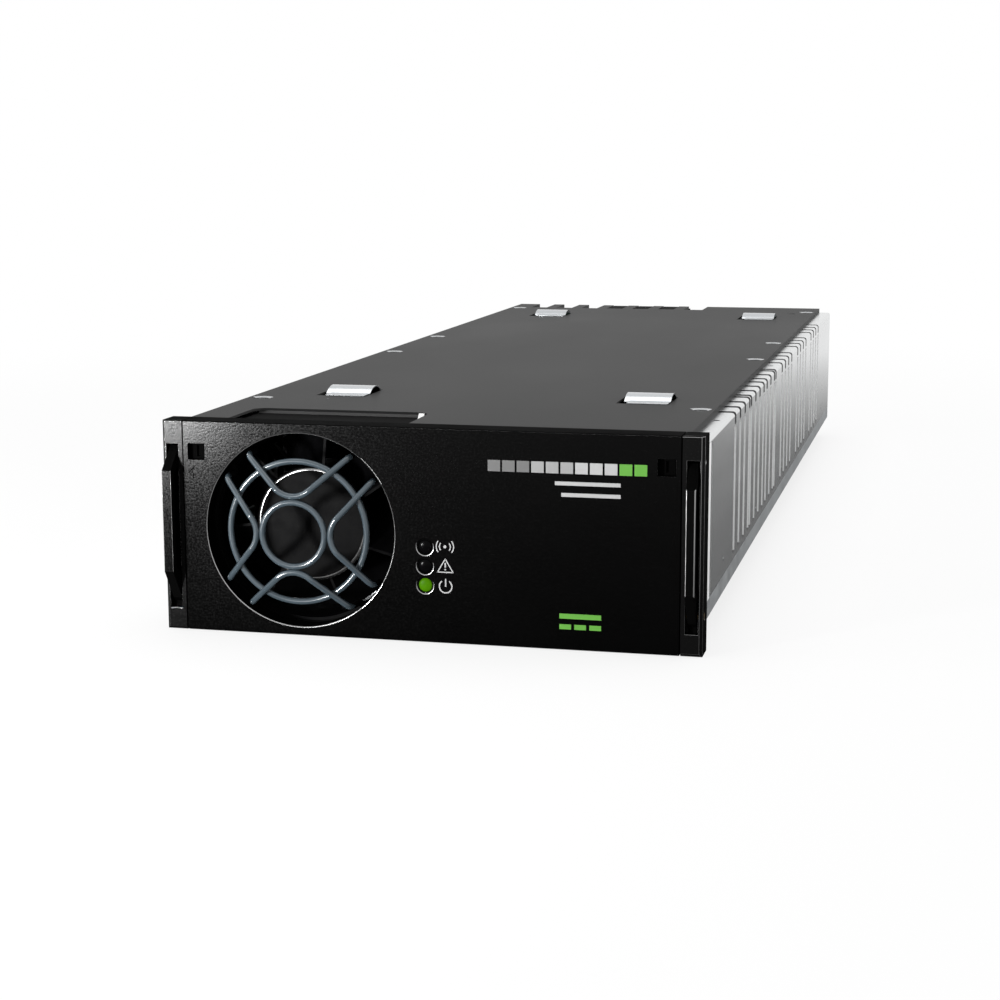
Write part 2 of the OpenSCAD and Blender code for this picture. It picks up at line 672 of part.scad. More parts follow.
// Distance of a leg's start and end from the fan's axis; the outer ring lies behind the legs
leg_r = [norm([apex_r * sin(leg_a), apex_v + apex_r * (1 - cos(leg_a))]), norm([leg_u, leg_v])];
ring_out_y = -guard_out + (guard_out - guard_rim) * (ring_out_r - leg_r[0]) / (leg_r[1] - leg_r[0])
    + 2 * wire_r - 0.1;
// Half of a guard wire, from its apex on the inner ring to its foot on the eye of a fan screw
function half_wire() = let (c = apex_v + apex_r, u0 = apex_r * sin(leg_a),
        v0 = c - apex_r * cos(leg_a)) concat(
    [for (a = [0 : leg_a / 6 : leg_a + 0.01]) [apex_r * sin(a), -guard_out, c - apex_r * cos(a)]],
    [[u0 + (leg_u - u0) * 0.5, -guard_out + (guard_out - guard_rim) * 0.5, v0 + (leg_v - v0) * 0.5],
        [leg_u - 1.6, -guard_rim - 0.7, leg_v - 1.4], [leg_u - 0.4, -guard_rim + 0.4, leg_v - 0.35],
        [leg_u, 2, leg_v], [leg_u, leg_back - 2, leg_v], [leg_u + 0.7, leg_back - 0.5, leg_v + 0.2],
        [leg_u + 2.2, leg_back, leg_v + 0.7], [foot[0], leg_back, foot[1]]]);
function mirrored(p) = [for (i = [len(p) - 1 : -1 : 1]) [-p[i][0], p[i][1], p[i][2]]];
module fan_guard() {
    color("#5c6870") in_place() translate([fan_x, 0, fan_z]) {
        for (a = [0, 90, 180, 270]) rotate([0, a, 0])
            wire(concat(mirrored(half_wire()), half_wire()), wire_r, [0, 1, 0]);
        wire_loop(ring_in_r, -guard_out);
        wire_loop(ring_out_r, ring_out_y);
        for (sx = [-1, 1], sz = [-1, 1]) difference() {
            rod_y(eye_r, sx * fan_pitch / 2, eye_y, sz * fan_pitch / 2);
            rod_y(fan_screw_r + 0.1, sx * fan_pitch / 2, [0, bezel_t], sz * fan_pitch / 2);
        }
    }
}
module wire_loop(r_loop, y) {
    translate([0, y, 0]) rotate([-90, 0, 0]) rotate_extrude($fn = 64)
        translate([r_loop, 0]) circle(r = wire_r, $fn = 10);
}

// ---- Fan ----
module fan_square(y) {
    h = fan_w / 2;
    r = 3;
    box([-h + r, h - r], y, [-h, h]);
    box([-h, h], y, [-h + r, h - r]);
    for (sx = [-1, 1], sz = [-1, 1]) rod_y(r, sx * (h - r), y, sz * (h - r));
}
strut_y = [fan_t - 4, fan_t];
module fan_frame() {
    color("#202020") in_place() translate([fan_x, fan_y, fan_z]) difference() {
        union() {
            difference() {
                union() {
                    fan_square([0, 5]);
                    fan_square([fan_t - 5, fan_t]);
                    rod_y(fan_w / 2 - 0.2, 0, [0, fan_t], 0);
                    for (sx = [-1, 1], sz = [-1, 1])
                        rod_y(4.2, sx * fan_pitch / 2, [0, fan_t], sz * fan_pitch / 2);
                }
                rod_y(duct_r, 0, [-1, fan_t + 1], 0);
            }
            for (a = [45 : 90 : 315]) rotate([0, a, 0]) box([15, duct_r + 0.6], strut_y, [-2, 2]);
            rod_y(rotor_hub_r - 1.5, 0, [fan_t - 4, fan_t], 0);
            rod_y(6, 0, [9, fan_t - 1], 0);
        }
        rod_y(4, 0, [8, fan_t - 4], 0);
        for (sx = [-1, 1], sz = [-1, 1])
            rod_y(fan_screw_r + press, sx * fan_pitch / 2, [-1, fan_t + 1], sz * fan_pitch / 2);
    }
}
blade_t = 1.6;
blade_a = 40;
module fan_rotor() {
    color("#1a1a1a") in_place() translate([fan_x, fan_y, fan_z]) {
        difference() {
            rod_y(rotor_hub_r, 0, [1.6, 24], 0);
            rod_y(rotor_hub_r - 3, 0, [4.4, 25], 0);
        }
        rod_y(shaft_r, 0, [4, 26], 0);
        for (i = [0 : blade_n - 1]) rotate([0, i * 360 / blade_n, 0]) intersection() {
            translate([rotor_hub_r - 1.5, 13.5, 0]) rotate([-blade_a, 0, 0])
                translate([0, -20, -blade_t / 2]) cube([20, 40, blade_t]);
            difference() {
                rod_y(rotor_tip_r, 0, [3, 24], 0);
                rod_y(rotor_hub_r - 1, 0, [2, 25], 0);
            }
        }
    }
}
module fan_stator() {
    color("#b87333") in_place() translate([fan_x, fan_y, fan_z]) difference() {
        union() {
            rod_y(13, 0, [9.5, 23], 0);
            for (a = [0 : 45 : 135]) rotate([0, a, 0]) box([-19, 19], [12, 20], [-2.4, 2.4]);
        }
        rod_y(6 + press, 0, [8, 25], 0);
    }
}
module fan_bearings() {
    color("#c0c0c0") in_place() translate([fan_x, fan_y, fan_z]) for (y = [10, 20]) difference() {
        rod_y(4 - press, 0, [y, y + 4], 0);
        rod_y(shaft_r + pin_fit, 0, [y - 1, y + 5], 0);
    }
}
module fan_screws() {
    color("#606060") in_place() for (sx = [-1, 1], sz = [-1, 1])
        translate([fan_x + sx * fan_pitch / 2, eye_y[0], fan_z + sz * fan_pitch / 2]) {
            rod_y(fan_head_r, 0, [-1.6, 0], 0);
            rod_y(fan_screw_r, 0, [-0.1, fan_y - leg_back + 9], 0);
        }
}
// The lead leaves the fan's side and ends in a plug on the main board
lead_pts = [[0, 38, 5], [1.5, 38.4, 5], [3.5, 41, 5], [5, 46, 5], [6, 54, 5.5], [7, 62, 6], [8, 68, 5.5],
    [9, 72, 4]];
module fan_lead() {
    color("#b02020") in_place() {
        wire([for (p = lead_pts) [fan_end_x + p[0], p[1], top_z + p[2]]], 1.3);
        box([fan_end_x + 5.5, fan_end_x + 12.5], [71, 79], [top_z, top_z + 7]);
    }
}

// ---- Status lamps ----
module lens(z) {
    in_place() {
        rod_y(lamp_r, lamp_x, [0.7, 6], z);
        rod_y(dish_r - 0.1, lamp_x, [skin_t, skin_t + 1], z);
    }
}
module link_lens() {
    color("#202020") lens(lamp_zs[0]);
}
module alarm_lens() {
    color("#202020") lens(lamp_zs[1]);
}
module power_lens() {
    color("#6ab818") lens(lamp_zs[2]);
}
module status_leds() {
    color("#e8e8e0") in_place() for (z = lamp_zs) rod_y(1.5, lamp_x, [6.2, display_y], z);
}
module display_board() {
    color("#1f6b3a") in_place() difference() {
        union() {
            box(display_x, [display_y, display_y + board_t], display_z);
            box([display_x[1] - 12, display_x[1] - 2], [display_y, bezel_t - 0.6], plug_z);
        }
        for (p = display_screw_pts) rod_y(screw_r + 0.1, p[0], [0, bezel_t], p[1]);
    }
}
module display_screws() {
    color("#c8c8c8") in_place() for (p = display_screw_pts) {
        rod_y(2.6, p[0], [display_y + board_t, display_y + board_t + 1.2], p[1]);
        rod_y(screw_r, p[0], [skin_t + 0.6, display_y + board_t + eps], p[1]);
    }
}
ribbon_x = [display_x[1] - 2, display_x[1] + 11, control_x - 4];
ribbon_y = [bezel_t - 1.5, 34, 100];
ribbon_t = 0.6;
plug_z = [34, 48];
module ribbon_cable() {
    z = [plug_z[0] + 2, plug_z[1] - 2];
    color("#9a9a9a") in_place() {
        box([ribbon_x[0], ribbon_x[1]], [ribbon_y[0], ribbon_y[0] + ribbon_t], z);
        box([ribbon_x[1] - ribbon_t, ribbon_x[1]], [ribbon_y[0], ribbon_y[1]], z);
        box([ribbon_x[1] - ribbon_t, ribbon_x[2]], [ribbon_y[1] - ribbon_t, ribbon_y[1]], z);
        box([ribbon_x[2] - ribbon_t, ribbon_x[2]], [ribbon_y[1] - ribbon_t, ribbon_y[2]], z);
    }
}

// ---- Electronics ----
board_x = half_w - 5;
board_y = [58, rear_y - 8];
module main_board() {
    color("#1f6b3a") in_place() difference() {
        box([-board_x, board_x], board_y, [board_z, top_z]);
        for (x = spacer_xs, y = spacer_ys) rod_z(screw_r + 0.1, x, y, [board_z - 1, top_z + 1]);
    }
}
control_y = [80, 280];
module control_board() {
    color("#1f6b3a") in_place() box([control_x, control_x + board_t], control_y, [top_z, top_z + control_h]);
}
// Chips on the control board: distance along it, height above the main board, and size
chips = [[40, 19, [2, 14, 14]], [70, 9, [2.4, 20, 10]], [105, 23, [1.6, 10, 8]],
    [125, 11, [3, 12, 18]], [155, 25, [1.6, 8, 8]], [175, 9, [8, 14, 12]]];
module control_chips() {
    color("#181818") in_place() {
        box([ribbon_x[2], control_x], [ribbon_y[2] - 10, ribbon_y[2] + 4], plug_z);
        for (c = chips) translate([control_x - c[2][0], control_y[0] + c[0], top_z + c[1]]) cube(c[2]);
    }
}
sink_w = 40;
sink_x = [12 - half_w, 12 - half_w + sink_w];
sink_base = 6;
sink_wall = 4;
fin_n = 8;
fin_t = 1.6;
module heatsink(y) {
    pitch = (sink_w - sink_wall) / fin_n;
    color("#bfc4c8") in_place() {
        box(sink_x, y, [top_z, top_z + sink_base]);
        box([sink_x[1] - sink_wall, sink_x[1]], y, [top_z, top_z + sink_h]);
        for (i = [0 : fin_n - 1]) box([sink_x[0] + i * pitch, sink_x[0] + i * pitch + fin_t], y,
            [top_z, top_z + sink_h]);
    }
}
front_sink_y = [72, 290];
rear_sink_y = [330, board_y[1] - 64];
module front_heatsink() {
    heatsink(front_sink_y);
}
module rear_heatsink() {
    heatsink(rear_sink_y);
}
transistor = [5, 16, 21];
transistor_pitch = 40;
transistor_ys = [for (sink = [front_sink_y, rear_sink_y],
    y = [sink[0] + 16 : transistor_pitch : sink[1] - transistor[1]]) y];
pin_w = 1.2;
pin_pitch = 5.4;
module power_transistors() {
    color("#1a1a1a") in_place() for (y = transistor_ys) translate([sink_x[1], y, top_z]) {
        translate([0, 0, 10]) cube(transistor);
        for (k = [0 : 2]) translate([2, 2 + k * pin_pitch, 0]) cube([0.7, pin_w, 10 + eps]);
    }
}
cap_x = sink_x[1] + 35;
cap_first_y = 110;
cap_pitch = 40;
module bulk_capacitors() {
    color("#2a3350") in_place() for (i = [0 : 2])
        rod_z(cap_d / 2, cap_x, cap_first_y + i * cap_pitch, [top_z, top_z + cap_h]);
}
choke_r = 26;
choke_h = 26;
choke_hole_r = 12;
turn_r = 2.6;
wound_x = cap_x + cap_d / 2 + 32.5;
base_t = 2;
module pfc_choke() {
    color("#a8621e") in_place() translate([wound_x, 120, top_z]) difference() {
        union() {
            cylinder(r = choke_r, h = choke_h);
            for (a = [0 : 20 : 340]) rotate([0, 0, a]) translate([choke_r, 0, choke_h / 2])
                rotate([0, 90, 0]) cylinder(r = turn_r, h = 1.6, center = true);
            translate([-choke_r - 1, -choke_r - 1, 0]) cube([2 * choke_r + 2, 2 * choke_r + 2, base_t]);
        }
        translate([0, 0, base_t]) cylinder(r = choke_hole_r, h = choke_h);
    }
}
// Transformer: a core of two legs and two yokes round a coil, on a plate
trafo_w = 60;
trafo_h = 43;
leg_w = 12;
yoke_h = 10;
core_d = 40;
coil_r = trafo_w / 2 - leg_w - 2.5;
module main_transformer() {
    inset = (trafo_w - core_d) / 2;
    color("#383838") in_place() translate([wound_x - trafo_w / 2 - 2, 250, top_z]) {
        cube([trafo_w, trafo_w, base_t + eps]);
        translate([0, 0, base_t]) {
            for (x = [2, trafo_w - leg_w - 2]) translate([x, inset, 0]) cube([leg_w, core_d, trafo_h]);
            for (z = [0, trafo_h - yoke_h]) translate([2, inset, z]) cube([trafo_w - 4, core_d, yoke_h]);
            translate([trafo_w / 2, trafo_w / 2, 0]) cylinder(r = coil_r, h = trafo_h);
            translate([leg_w + 4, 4, yoke_h + 1])
                cube([trafo_w - 2 * leg_w - 8, trafo_w - 8, trafo_h - 2 * yoke_h - 2]);
        }
    }
}
inductor = [40, 34, 32];
module resonant_inductor() {
    color("#4a4a4a") in_place() translate([wound_x - 24, 168, top_z]) {
        cube([inductor[0] + 6, inductor[1] + 12, base_t + eps]);
        translate([3, 6, base_t]) cube(inductor);
        translate([inductor[0] / 4 + 3, 2, base_t + 6])
            cube([inductor[0] / 2, inductor[1] + 8, inductor[2] - 12]);
    }
}
emi_x = half_w - 49;
emi_ys = [board_y[1] - 134, board_y[1] - 74];
emi_r = 19;
emi_h = 20;
module emi_chokes() {
    color("#7a3a18") in_place() for (y = emi_ys) translate([emi_x, y, top_z]) {
        difference() {
            cylinder(r = emi_r, h = emi_h);
            translate([0, 0, base_t]) cylinder(r = emi_r - 11, h = emi_h);
        }
        translate([-emi_r - 1, -emi_r * 0.6, 0]) cube([2 * emi_r + 2, emi_r * 1.2, base_t]);
    }
}
film = [32, 16, 27];
module film_capacitors() {
    color("#b8a030") in_place() for (i = [0 : 2])
        translate([sink_x[1] + 10, 250 + i * 22, top_z]) cube(film);
}
relay = [29, 15, 21];
module relays() {
    color("#20242c") in_place() for (i = [0 : 2])
        translate([sink_x[1] + 13, board_y[1] - 160 + i * 24, top_z]) cube(relay);
}
fuse_xs = [4, 20];
fuse_l = 34;
fuse_r = 3.4;
cap_l = 6;
module fuses() {
    color("#d8d8d0") in_place() for (x = fuse_xs) translate([x, board_y[1] - 144, top_z]) {
        rod_y(fuse_r, 0, [0, fuse_l], fuse_r + 2.6);
        for (y = [1, fuse_l - cap_l - 1]) translate([-4, y, 0]) cube([8, cap_l, 6]);
    }
}
spacer_r = 3.4;
module board_spacers() {
    color("#c8b060") in_place() for (x = spacer_xs, y = spacer_ys) difference() {
        rod_z(spacer_r, x, y, [floor_z, board_z]);
        rod_z(screw_r + press, x, y, [floor_z - 1, board_z + 1]);
    }
}
module board_screws() {
    color("#c8c8c8") in_place() for (x = spacer_xs, y = spacer_ys) translate([x, y, top_z])
        pan_screw(board_t + spacer_h + sheet_t);
}
module insulator_sheet() {
    color("#e8e0c8") in_place() difference() {
        box([-board_x + 2, board_x - 2], [board_y[0] + 2, board_y[1] - 2], [floor_z, floor_z + 0.4]);
        for (x = spacer_xs, y = spacer_ys) rod_z(spacer_r + fit, x, y, [floor_z - 1, floor_z + 1]);
    }
}
baffle_x = half_w - 39;
baffle_y = [64, 325];
baffle_t = 0.6;
baffle_foot = 8;
module air_baffle() {
    color("#e0e0e0") in_place() {
        box([baffle_x, baffle_x + baffle_t], baffle_y, [top_z, cover_z - sheet_t - clip_t - fit]);
        box([baffle_x, baffle_x + baffle_foot], baffle_y, [top_z, top_z + baffle_t]);
    }
}

// ---- Rear connector ----
conn_x = 97 - half_w;
conn_z = [cover_z - sheet_t - 0.5 - conn_h, cover_z - sheet_t - 0.5];
ear_z = conn_z[0] + 12;
shroud_t = 3;
cavity_l = 20;
conn_y = [rear_y - 6, case_depth + conn_out];
blade_pitch = 8;
blade_k = [-2.5, -1.5, -0.5, 0.5, 1.5, 2.5];
blade_z = [conn_z[0] + 7, conn_z[1] - 9];
module rear_connector() {
    color("#141414") in_place() difference() {
        union() {
            box([conn_x - conn_w / 2, conn_x + conn_w / 2], conn_y, conn_z);
            box([conn_x - ear_x - 5, conn_x + ear_x + 5], [rear_y - 3, rear_y], [conn_z[0], ear_z + 6]);
        }
        box([conn_x - conn_w / 2 + shroud_t, conn_x + conn_w / 2 - shroud_t],
            [conn_y[1] - cavity_l, conn_y[1] + 1], [conn_z[0] + shroud_t, conn_z[1] - 5]);
        for (k = [0 : tab_n]) box([tab_edge(k) - sheet_t - fit, tab_edge(k) + fit],
            [rear_y, case_depth + 1], [cover_z - sheet_t - tab_fold - fit, cover_z]);
        for (s = [-1, 1]) rod_y(screw_r + press, conn_x + s * ear_x, [rear_y - 7, rear_y + 1], ear_z);
        for (k = blade_k) box([conn_x + k * blade_pitch - 0.8, conn_x + k * blade_pitch + 0.8],
            [conn_y[0] - 1, conn_y[1] - cavity_l + 1], blade_z);
    }
}
module connector_pins() {
    color("#c9a04a") in_place() for (k = blade_k) {
        x = [conn_x + k * blade_pitch - 0.75, conn_x + k * blade_pitch + 0.75];
        box(x, [board_y[1] - 6, conn_y[1] - cavity_l + 14], [blade_z[0] + 0.05, blade_z[1] - 0.05]);
        box(x, [board_y[1] - 6, board_y[1] - 2], [top_z, blade_z[1] - 0.05]);
    }
}
module connector_screws() {
    color("#c8c8c8") in_place() for (s = [-1, 1]) translate([conn_x + s * ear_x, rear_y + sheet_t, ear_z]) {
        rod_y(head_r, 0, [0, head_h], 0);
        rod_y(screw_r, 0, [-sheet_t - 2.6, eps], 0);
    }
}

// ---- Fasteners and contact springs on the outside ----
clip_r = (pow(clip_l / 2, 2) + pow(clip_h, 2)) / (2 * clip_h);
clip_low = -sheet_t - clip_t;
// Where the arch's rear limb has passed the cover, and the opening that it hangs in
clip_foot = sqrt(pow(clip_r, 2) - pow(clip_r - clip_h + clip_low, 2));
clip_bare = 2.4;
clip_open_y = [1.5 - clip_l / 2 - clip_lip, clip_foot - 0.3];
// Arch of strip seen from its end, its middle over y = 0 and the cover's face at z = 0
module clip_outline() {
    intersection() {
        translate([0, clip_h - clip_r]) difference() {
            circle(r = clip_r);
            circle(r = clip_r - clip_t);
        }
        union() {
            translate([-clip_r, 0]) square([clip_r * 2, clip_h + 1]);
            translate([0, clip_low]) square([clip_r, eps - clip_low]);
        }
    }
    // Hook under the rear edge of the opening
    translate([clip_foot - 0.8, clip_low]) square([4.4, clip_t]);
}
module contact_springs() {
    color("#d0d0d0") in_place() for (s = [-1, 1], y = clip_ys)
        translate([clip_shift + s * clip_x, y, cover_z]) {
            length_x([-clip_w / 2, clip_w / 2]) clip_outline();
            box([clip_bare - clip_w / 2, clip_w / 2], [-clip_l / 2 - clip_lip, 0.6 - clip_l / 2],
                [0, clip_t]);
        }
}
module cover_screws() {
    color("#9a9a9a") in_place() for (s = [-1, 1], y = screw_ys)
        translate([s * cover_screw_x, y, cover_z - dimple_h - 0.3]) flat_screw(5);
}
module bezel_screws() {
    color("#a0a0a0") in_place() for (p = bezel_screw_pts) translate([p[0], frame_y, p[1]]) {
        rod_y(head_r, 0, [0, head_h], 0);
        rod_y(screw_r, 0, [-8, eps], 0);
    }
}
module panel_rivets() {
    color("#a8a8a8") in_place() for (s = [-1, 1], y = rivet_ys) on_side(s) {
        rod_x(rivet_r - press, [side_x - sheet_t - eps, half_w - 0.1], y, rivet_z);
        rod_x(2.6, [side_x - sheet_t - 0.9, side_x - sheet_t], y, rivet_z);
    }
}

chassis_pan();
left_side_panel();
right_side_panel();
top_cover();
rear_panel();
front_frame();
front_bezel();
left_handle_housing();
right_handle_housing();
left_handle();
right_handle();
left_hinge_pin();
right_hinge_pin();
left_catch();
right_catch();
left_catch_spring();
right_catch_spring();
fan_guard();
fan_frame();
fan_rotor();
fan_stator();
fan_bearings();
fan_screws();
fan_lead();
link_lens();
alarm_lens();
power_lens();
status_leds();
display_board();
display_screws();
ribbon_cable();
main_board();
control_board();
control_chips();
front_heatsink();
rear_heatsink();
power_transistors();
bulk_capacitors();
pfc_choke();
main_transformer();
resonant_inductor();
emi_chokes();
film_capacitors();
relays();
fuses();
board_spacers();
board_screws();
insulator_sheet();
air_baffle();
rear_connector();
connector_pins();
connector_screws();
contact_springs();
cover_screws();
bezel_screws();
panel_rivets();
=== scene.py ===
# %% [markdown]
# # A rack UPS power module
#
# The object is one hot-plug power module of a rack UPS: a long steel case behind a black
# moulded bezel, with a guarded fan, three status lamps and a fold-out handle at each end. The
# exact solids come in as a fixed frame. This lesson gives them light and real finishes, and
# replaces the pieces that need softer forms.

# %% Load the solids
import json
import math
import bmesh
import bpy
from mathutils import Matrix, Quaternion, Vector


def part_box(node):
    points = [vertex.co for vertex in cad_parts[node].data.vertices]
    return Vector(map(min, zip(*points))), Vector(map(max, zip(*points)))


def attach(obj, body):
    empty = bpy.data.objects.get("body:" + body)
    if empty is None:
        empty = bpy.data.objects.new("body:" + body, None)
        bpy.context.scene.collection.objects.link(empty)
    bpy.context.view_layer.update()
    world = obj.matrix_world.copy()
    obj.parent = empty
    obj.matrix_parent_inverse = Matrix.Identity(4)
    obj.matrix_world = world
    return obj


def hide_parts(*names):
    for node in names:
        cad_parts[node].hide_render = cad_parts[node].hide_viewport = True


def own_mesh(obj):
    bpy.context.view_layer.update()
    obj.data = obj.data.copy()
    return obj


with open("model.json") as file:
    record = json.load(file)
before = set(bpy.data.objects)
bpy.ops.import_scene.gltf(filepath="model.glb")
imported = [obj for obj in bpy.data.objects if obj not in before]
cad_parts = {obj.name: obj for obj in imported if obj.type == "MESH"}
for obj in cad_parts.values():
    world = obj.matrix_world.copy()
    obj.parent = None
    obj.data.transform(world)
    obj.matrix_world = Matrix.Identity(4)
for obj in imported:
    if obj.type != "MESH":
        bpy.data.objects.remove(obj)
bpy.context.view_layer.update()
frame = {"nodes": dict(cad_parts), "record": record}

MM = 0.001
NODES = frame["nodes"]
BEZEL_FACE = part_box("front_bezel")[0].y


# %% [markdown]
# ## Working in the bezel's own millimetres
#
# Everything on the front is easiest to place from the middle of the bezel: x across, depth
# behind its face, z up from its lower edge. `place` turns such a point into metres in the
# shared frame.

# %% Places
def place(x, depth, z):
    return Vector((x * MM, BEZEL_FACE + depth * MM, z * MM))


print("middle of the bezel's lower edge:", place(0, 0, 0))

# %% [markdown]
# ## Camera
#
# A 73 mm lens a little over a metre away gives the gentle perspective of a product view. The
# camera stands above the bezel and to its right, and looks down and to the left.

# %% Camera
CAMERA_AT = (0.208376, -1.054837, 0.193101)
PITCH, YAW, ROLL = 0.17342, -0.23396, 0.00209
LENS, SENSOR = 72.95, 36


def link(thing):
    bpy.context.scene.collection.objects.link(thing)


def add_camera():
    level = math.cos(PITCH)
    forward = Vector((math.sin(YAW) * level, math.cos(YAW) * level, -math.sin(PITCH)))
    camera = bpy.data.objects.new("Camera", bpy.data.cameras.new("Camera"))
    link(camera)
    camera.data.sensor_width = SENSOR
    camera.data.lens = LENS
    camera.data.clip_start = 0.01
    camera.rotation_mode = "QUATERNION"
    camera.rotation_quaternion = Quaternion(forward, ROLL) @ forward.to_track_quat("-Z", "Y")
    camera.location = CAMERA_AT
    bpy.context.scene.camera = camera


add_camera()
print("camera lens:", LENS, "mm")

# %% [markdown]
# ## Colours and nodes
#
# Colours are written as hex values, and one function turns them into the linear values that the
# renderer mixes. A second function adds a shader node, sets its options and fills or links its
# sockets, so that a whole material reads as a list.

# %% Helpers for materials
def to_linear(colour):
    """Linear red, green, blue and alpha of an sRGB hex value."""
    values = [int(colour[i:i + 2], 16) / 255 for i in (1, 3, 5)]
    linear = [v / 12.92 if v <= 0.04045 else ((v + 0.055) / 1.055) ** 2.4 for v in values]
    return (*linear, 1.0)


def add_node(tree, kind, sockets={}, **settings):
    node = tree.nodes.new("ShaderNode" + kind)
    for name, value in settings.items():
        setattr(node, name, value)
    for name, value in sockets.items():
        if isinstance(value, bpy.types.NodeSocket):
            tree.links.new(value, node.inputs[name])
        else:
            node.inputs[name].default_value = value
    return node


def empty_tree(owner):
    owner.use_nodes = True
    owner.node_tree.nodes.clear()
    return owner.node_tree


def per_mm(size):
    """Scale of a pattern whose features are size millimetres across."""
    return 1 / (size * MM)


print("mid grey in linear light:", round(to_linear("#808080")[0], 3))

# %% [markdown]
# ## Floor, backdrop and light
#
# The module stands in a plain pale studio. The floor and the world are white where the camera,
# a reflection or a clear part looks at them, and much dimmer where they light the object. In
# reflections the floor is dimmed beside the module, as painted shade. The floor keeps part of
# its ordinary shading, so the soft shadow under the module stays.

# %% World and floor
AMBIENT = 0.45
FLOOR_RADIUS, FLOOR_DROP = 8.0, 0.0002
WHITE, FLOOR_PAINT = "#ffffff", "#f2f2f2"
# Distances from the middle, in metres, and the values of the floor there
PAINTED_SHADE_IN_REFLECTIONS = {"From Min": 0.38, "From Max": 0.92, "To Min": 0.02, "To Max": 1.0}
WHITE_SHARE = {"From Min": 0.1, "From Max": 1.1, "To Min": 0.8, "To Max": 1.0}
NARROWED = (1.7, 1, 1)


def mesh_object(name, bm, materials):
    mesh = bpy.data.meshes.new(name)
    bm.to_mesh(mesh)
    bm.free()
    for material in materials:
        mesh.materials.append(material)
    made = bpy.data.objects.new(name, mesh)
    link(made)
    return made


def seen_directly(tree):
    """1 for camera, glossy and transmission rays, 0 for rays that light surfaces."""
    rays = add_node(tree, "LightPath").outputs
    either = add_node(tree, "Math", {0: rays["Is Camera Ray"], 1: rays["Is Glossy Ray"]},
                      operation="MAXIMUM")
    return add_node(tree, "Math", {0: either.outputs[0], 1: rays["Is Transmission Ray"]},
                    operation="MAXIMUM").outputs[0]


def make_world():
    world = bpy.data.worlds.new("Studio")
    bpy.context.scene.world = world
    tree = empty_tree(world)
    lit, seen = [add_node(tree, "Background", {"Color": to_linear(WHITE), "Strength": strength})
                 for strength in (AMBIENT, 1.0)]
    mix = add_node(tree, "MixShader",
                   {0: seen_directly(tree), 1: lit.outputs[0], 2: seen.outputs[0]})
    add_node(tree, "OutputWorld", {"Surface": mix.outputs[0]})


def make_floor():
    material = bpy.data.materials.new("Studio_Floor")
    tree = empty_tree(material)
    paint = add_node(tree, "BsdfDiffuse", {"Color": to_linear(FLOOR_PAINT)})
    where = add_node(tree, "TexCoord").outputs["Object"]
    away = add_node(tree, "VectorMath", {0: where}, operation="LENGTH")
    # Painted shade: as reflections see it, the floor's white is dimmed beside the module and
    # brightens outwards, sooner across the module than along it
    wider = add_node(tree, "VectorMath", {0: where, 1: NARROWED}, operation="MULTIPLY")
    across = add_node(tree, "VectorMath", {0: wider.outputs[0]}, operation="LENGTH")
    shade = add_node(tree, "MapRange", {"Value": across.outputs["Value"], **PAINTED_SHADE_IN_REFLECTIONS})
    mirrored = add_node(tree, "LightPath").outputs["Is Glossy Ray"]
    strength = add_node(tree, "Mix", {0: mirrored, 2: 1.0, 3: shade.outputs[0]})
    white = add_node(tree, "Emission",
                     {"Color": to_linear(WHITE), "Strength": strength.outputs[0]})
    # Only near the module is ordinary shading kept, for its shadow
    share = add_node(tree, "MapRange", {"Value": away.outputs["Value"], **WHITE_SHARE},
                     interpolation_type="SMOOTHERSTEP")
    bright = add_node(tree, "MixShader",
                      {0: share.outputs[0], 1: paint.outputs[0], 2: white.outputs[0]})
    mix = add_node(tree, "MixShader",
                   {0: seen_directly(tree), 1: paint.outputs[0], 2: bright.outputs[0]})
    add_node(tree, "OutputMaterial", {"Surface": mix.outputs[0]})
    bm = bmesh.new()
    bmesh.ops.create_circle(bm, cap_ends=True, segments=96, radius=FLOOR_RADIUS)
    bmesh.ops.translate(bm, verts=bm.verts, vec=(0, 0, -FLOOR_DROP))
    floor = mesh_object("Studio_Floor", bm, [material])


make_world()
make_floor()
print("floor radius:", FLOOR_RADIUS, "m")

# %% [markdown]
# A small low lamp in front and to the left is the key. The bezel's upper left corner mirrors
# it, so the sheen dies away to the right and downwards, and it draws the white lines on the
# guard's wires. A wide lamp overhead lights the cover evenly, a weak one on the right opens the
# side of the case, and one on the left draws a light line on every polished edge that faces it.

# %% Lamps
# Position, target, size in metres and power in watts
LAMPS = {
    "Key_Lamp": ((-0.33, -0.8, 0.05), (-0.1, -0.3, 0.08), 0.08, 6),
    "Left_Lamp": ((-0.8, -0.55, 0.45), (-0.05, -0.3, 0.04), 0.7, 2.5),
    "Top_Lamp": ((0.0, 0.1, 1.6), (0.0, 0.0, 0.0), 1.6, 14),
    "Side_Lamp": ((1.3, 0.2, 0.5), (0.1, 0.0, 0.04), 0.8, 5)}


def add_lamp(name, position, target, size, power):
    lamp = bpy.data.lights.new(name, "AREA")
    lamp.shape = "SQUARE"
    lamp.size = size
    lamp.energy = power
    lamp_object = bpy.data.objects.new(name, lamp)
    link(lamp_object)
    lamp_object.location = position
    direction = Vector(target) - Vector(position)
    lamp_object.rotation_mode = "QUATERNION"
    lamp_object.rotation_quaternion = direction.to_track_quat("-Z", "Y")
    lamp_object.visible_camera = False


for name, lamp in LAMPS.items():
    add_lamp(name, *lamp)
print("lamps:", len(LAMPS))

# %% [markdown]
# ## A recipe for surfaces
#
# No real surface has one flat colour. Each finish mixes two close colours in broad clouds,
# lets the gloss vary with them and raises a fine grain. `stretch` draws the grain out along one
# axis, as brushing or rolling does. What is the same all over goes straight on the shader.

# %% The surface recipe
FINISHES = {}
METAL = {"Metallic": 1.0}
NOISE_LOW, NOISE_HIGH = 0.3, 0.7


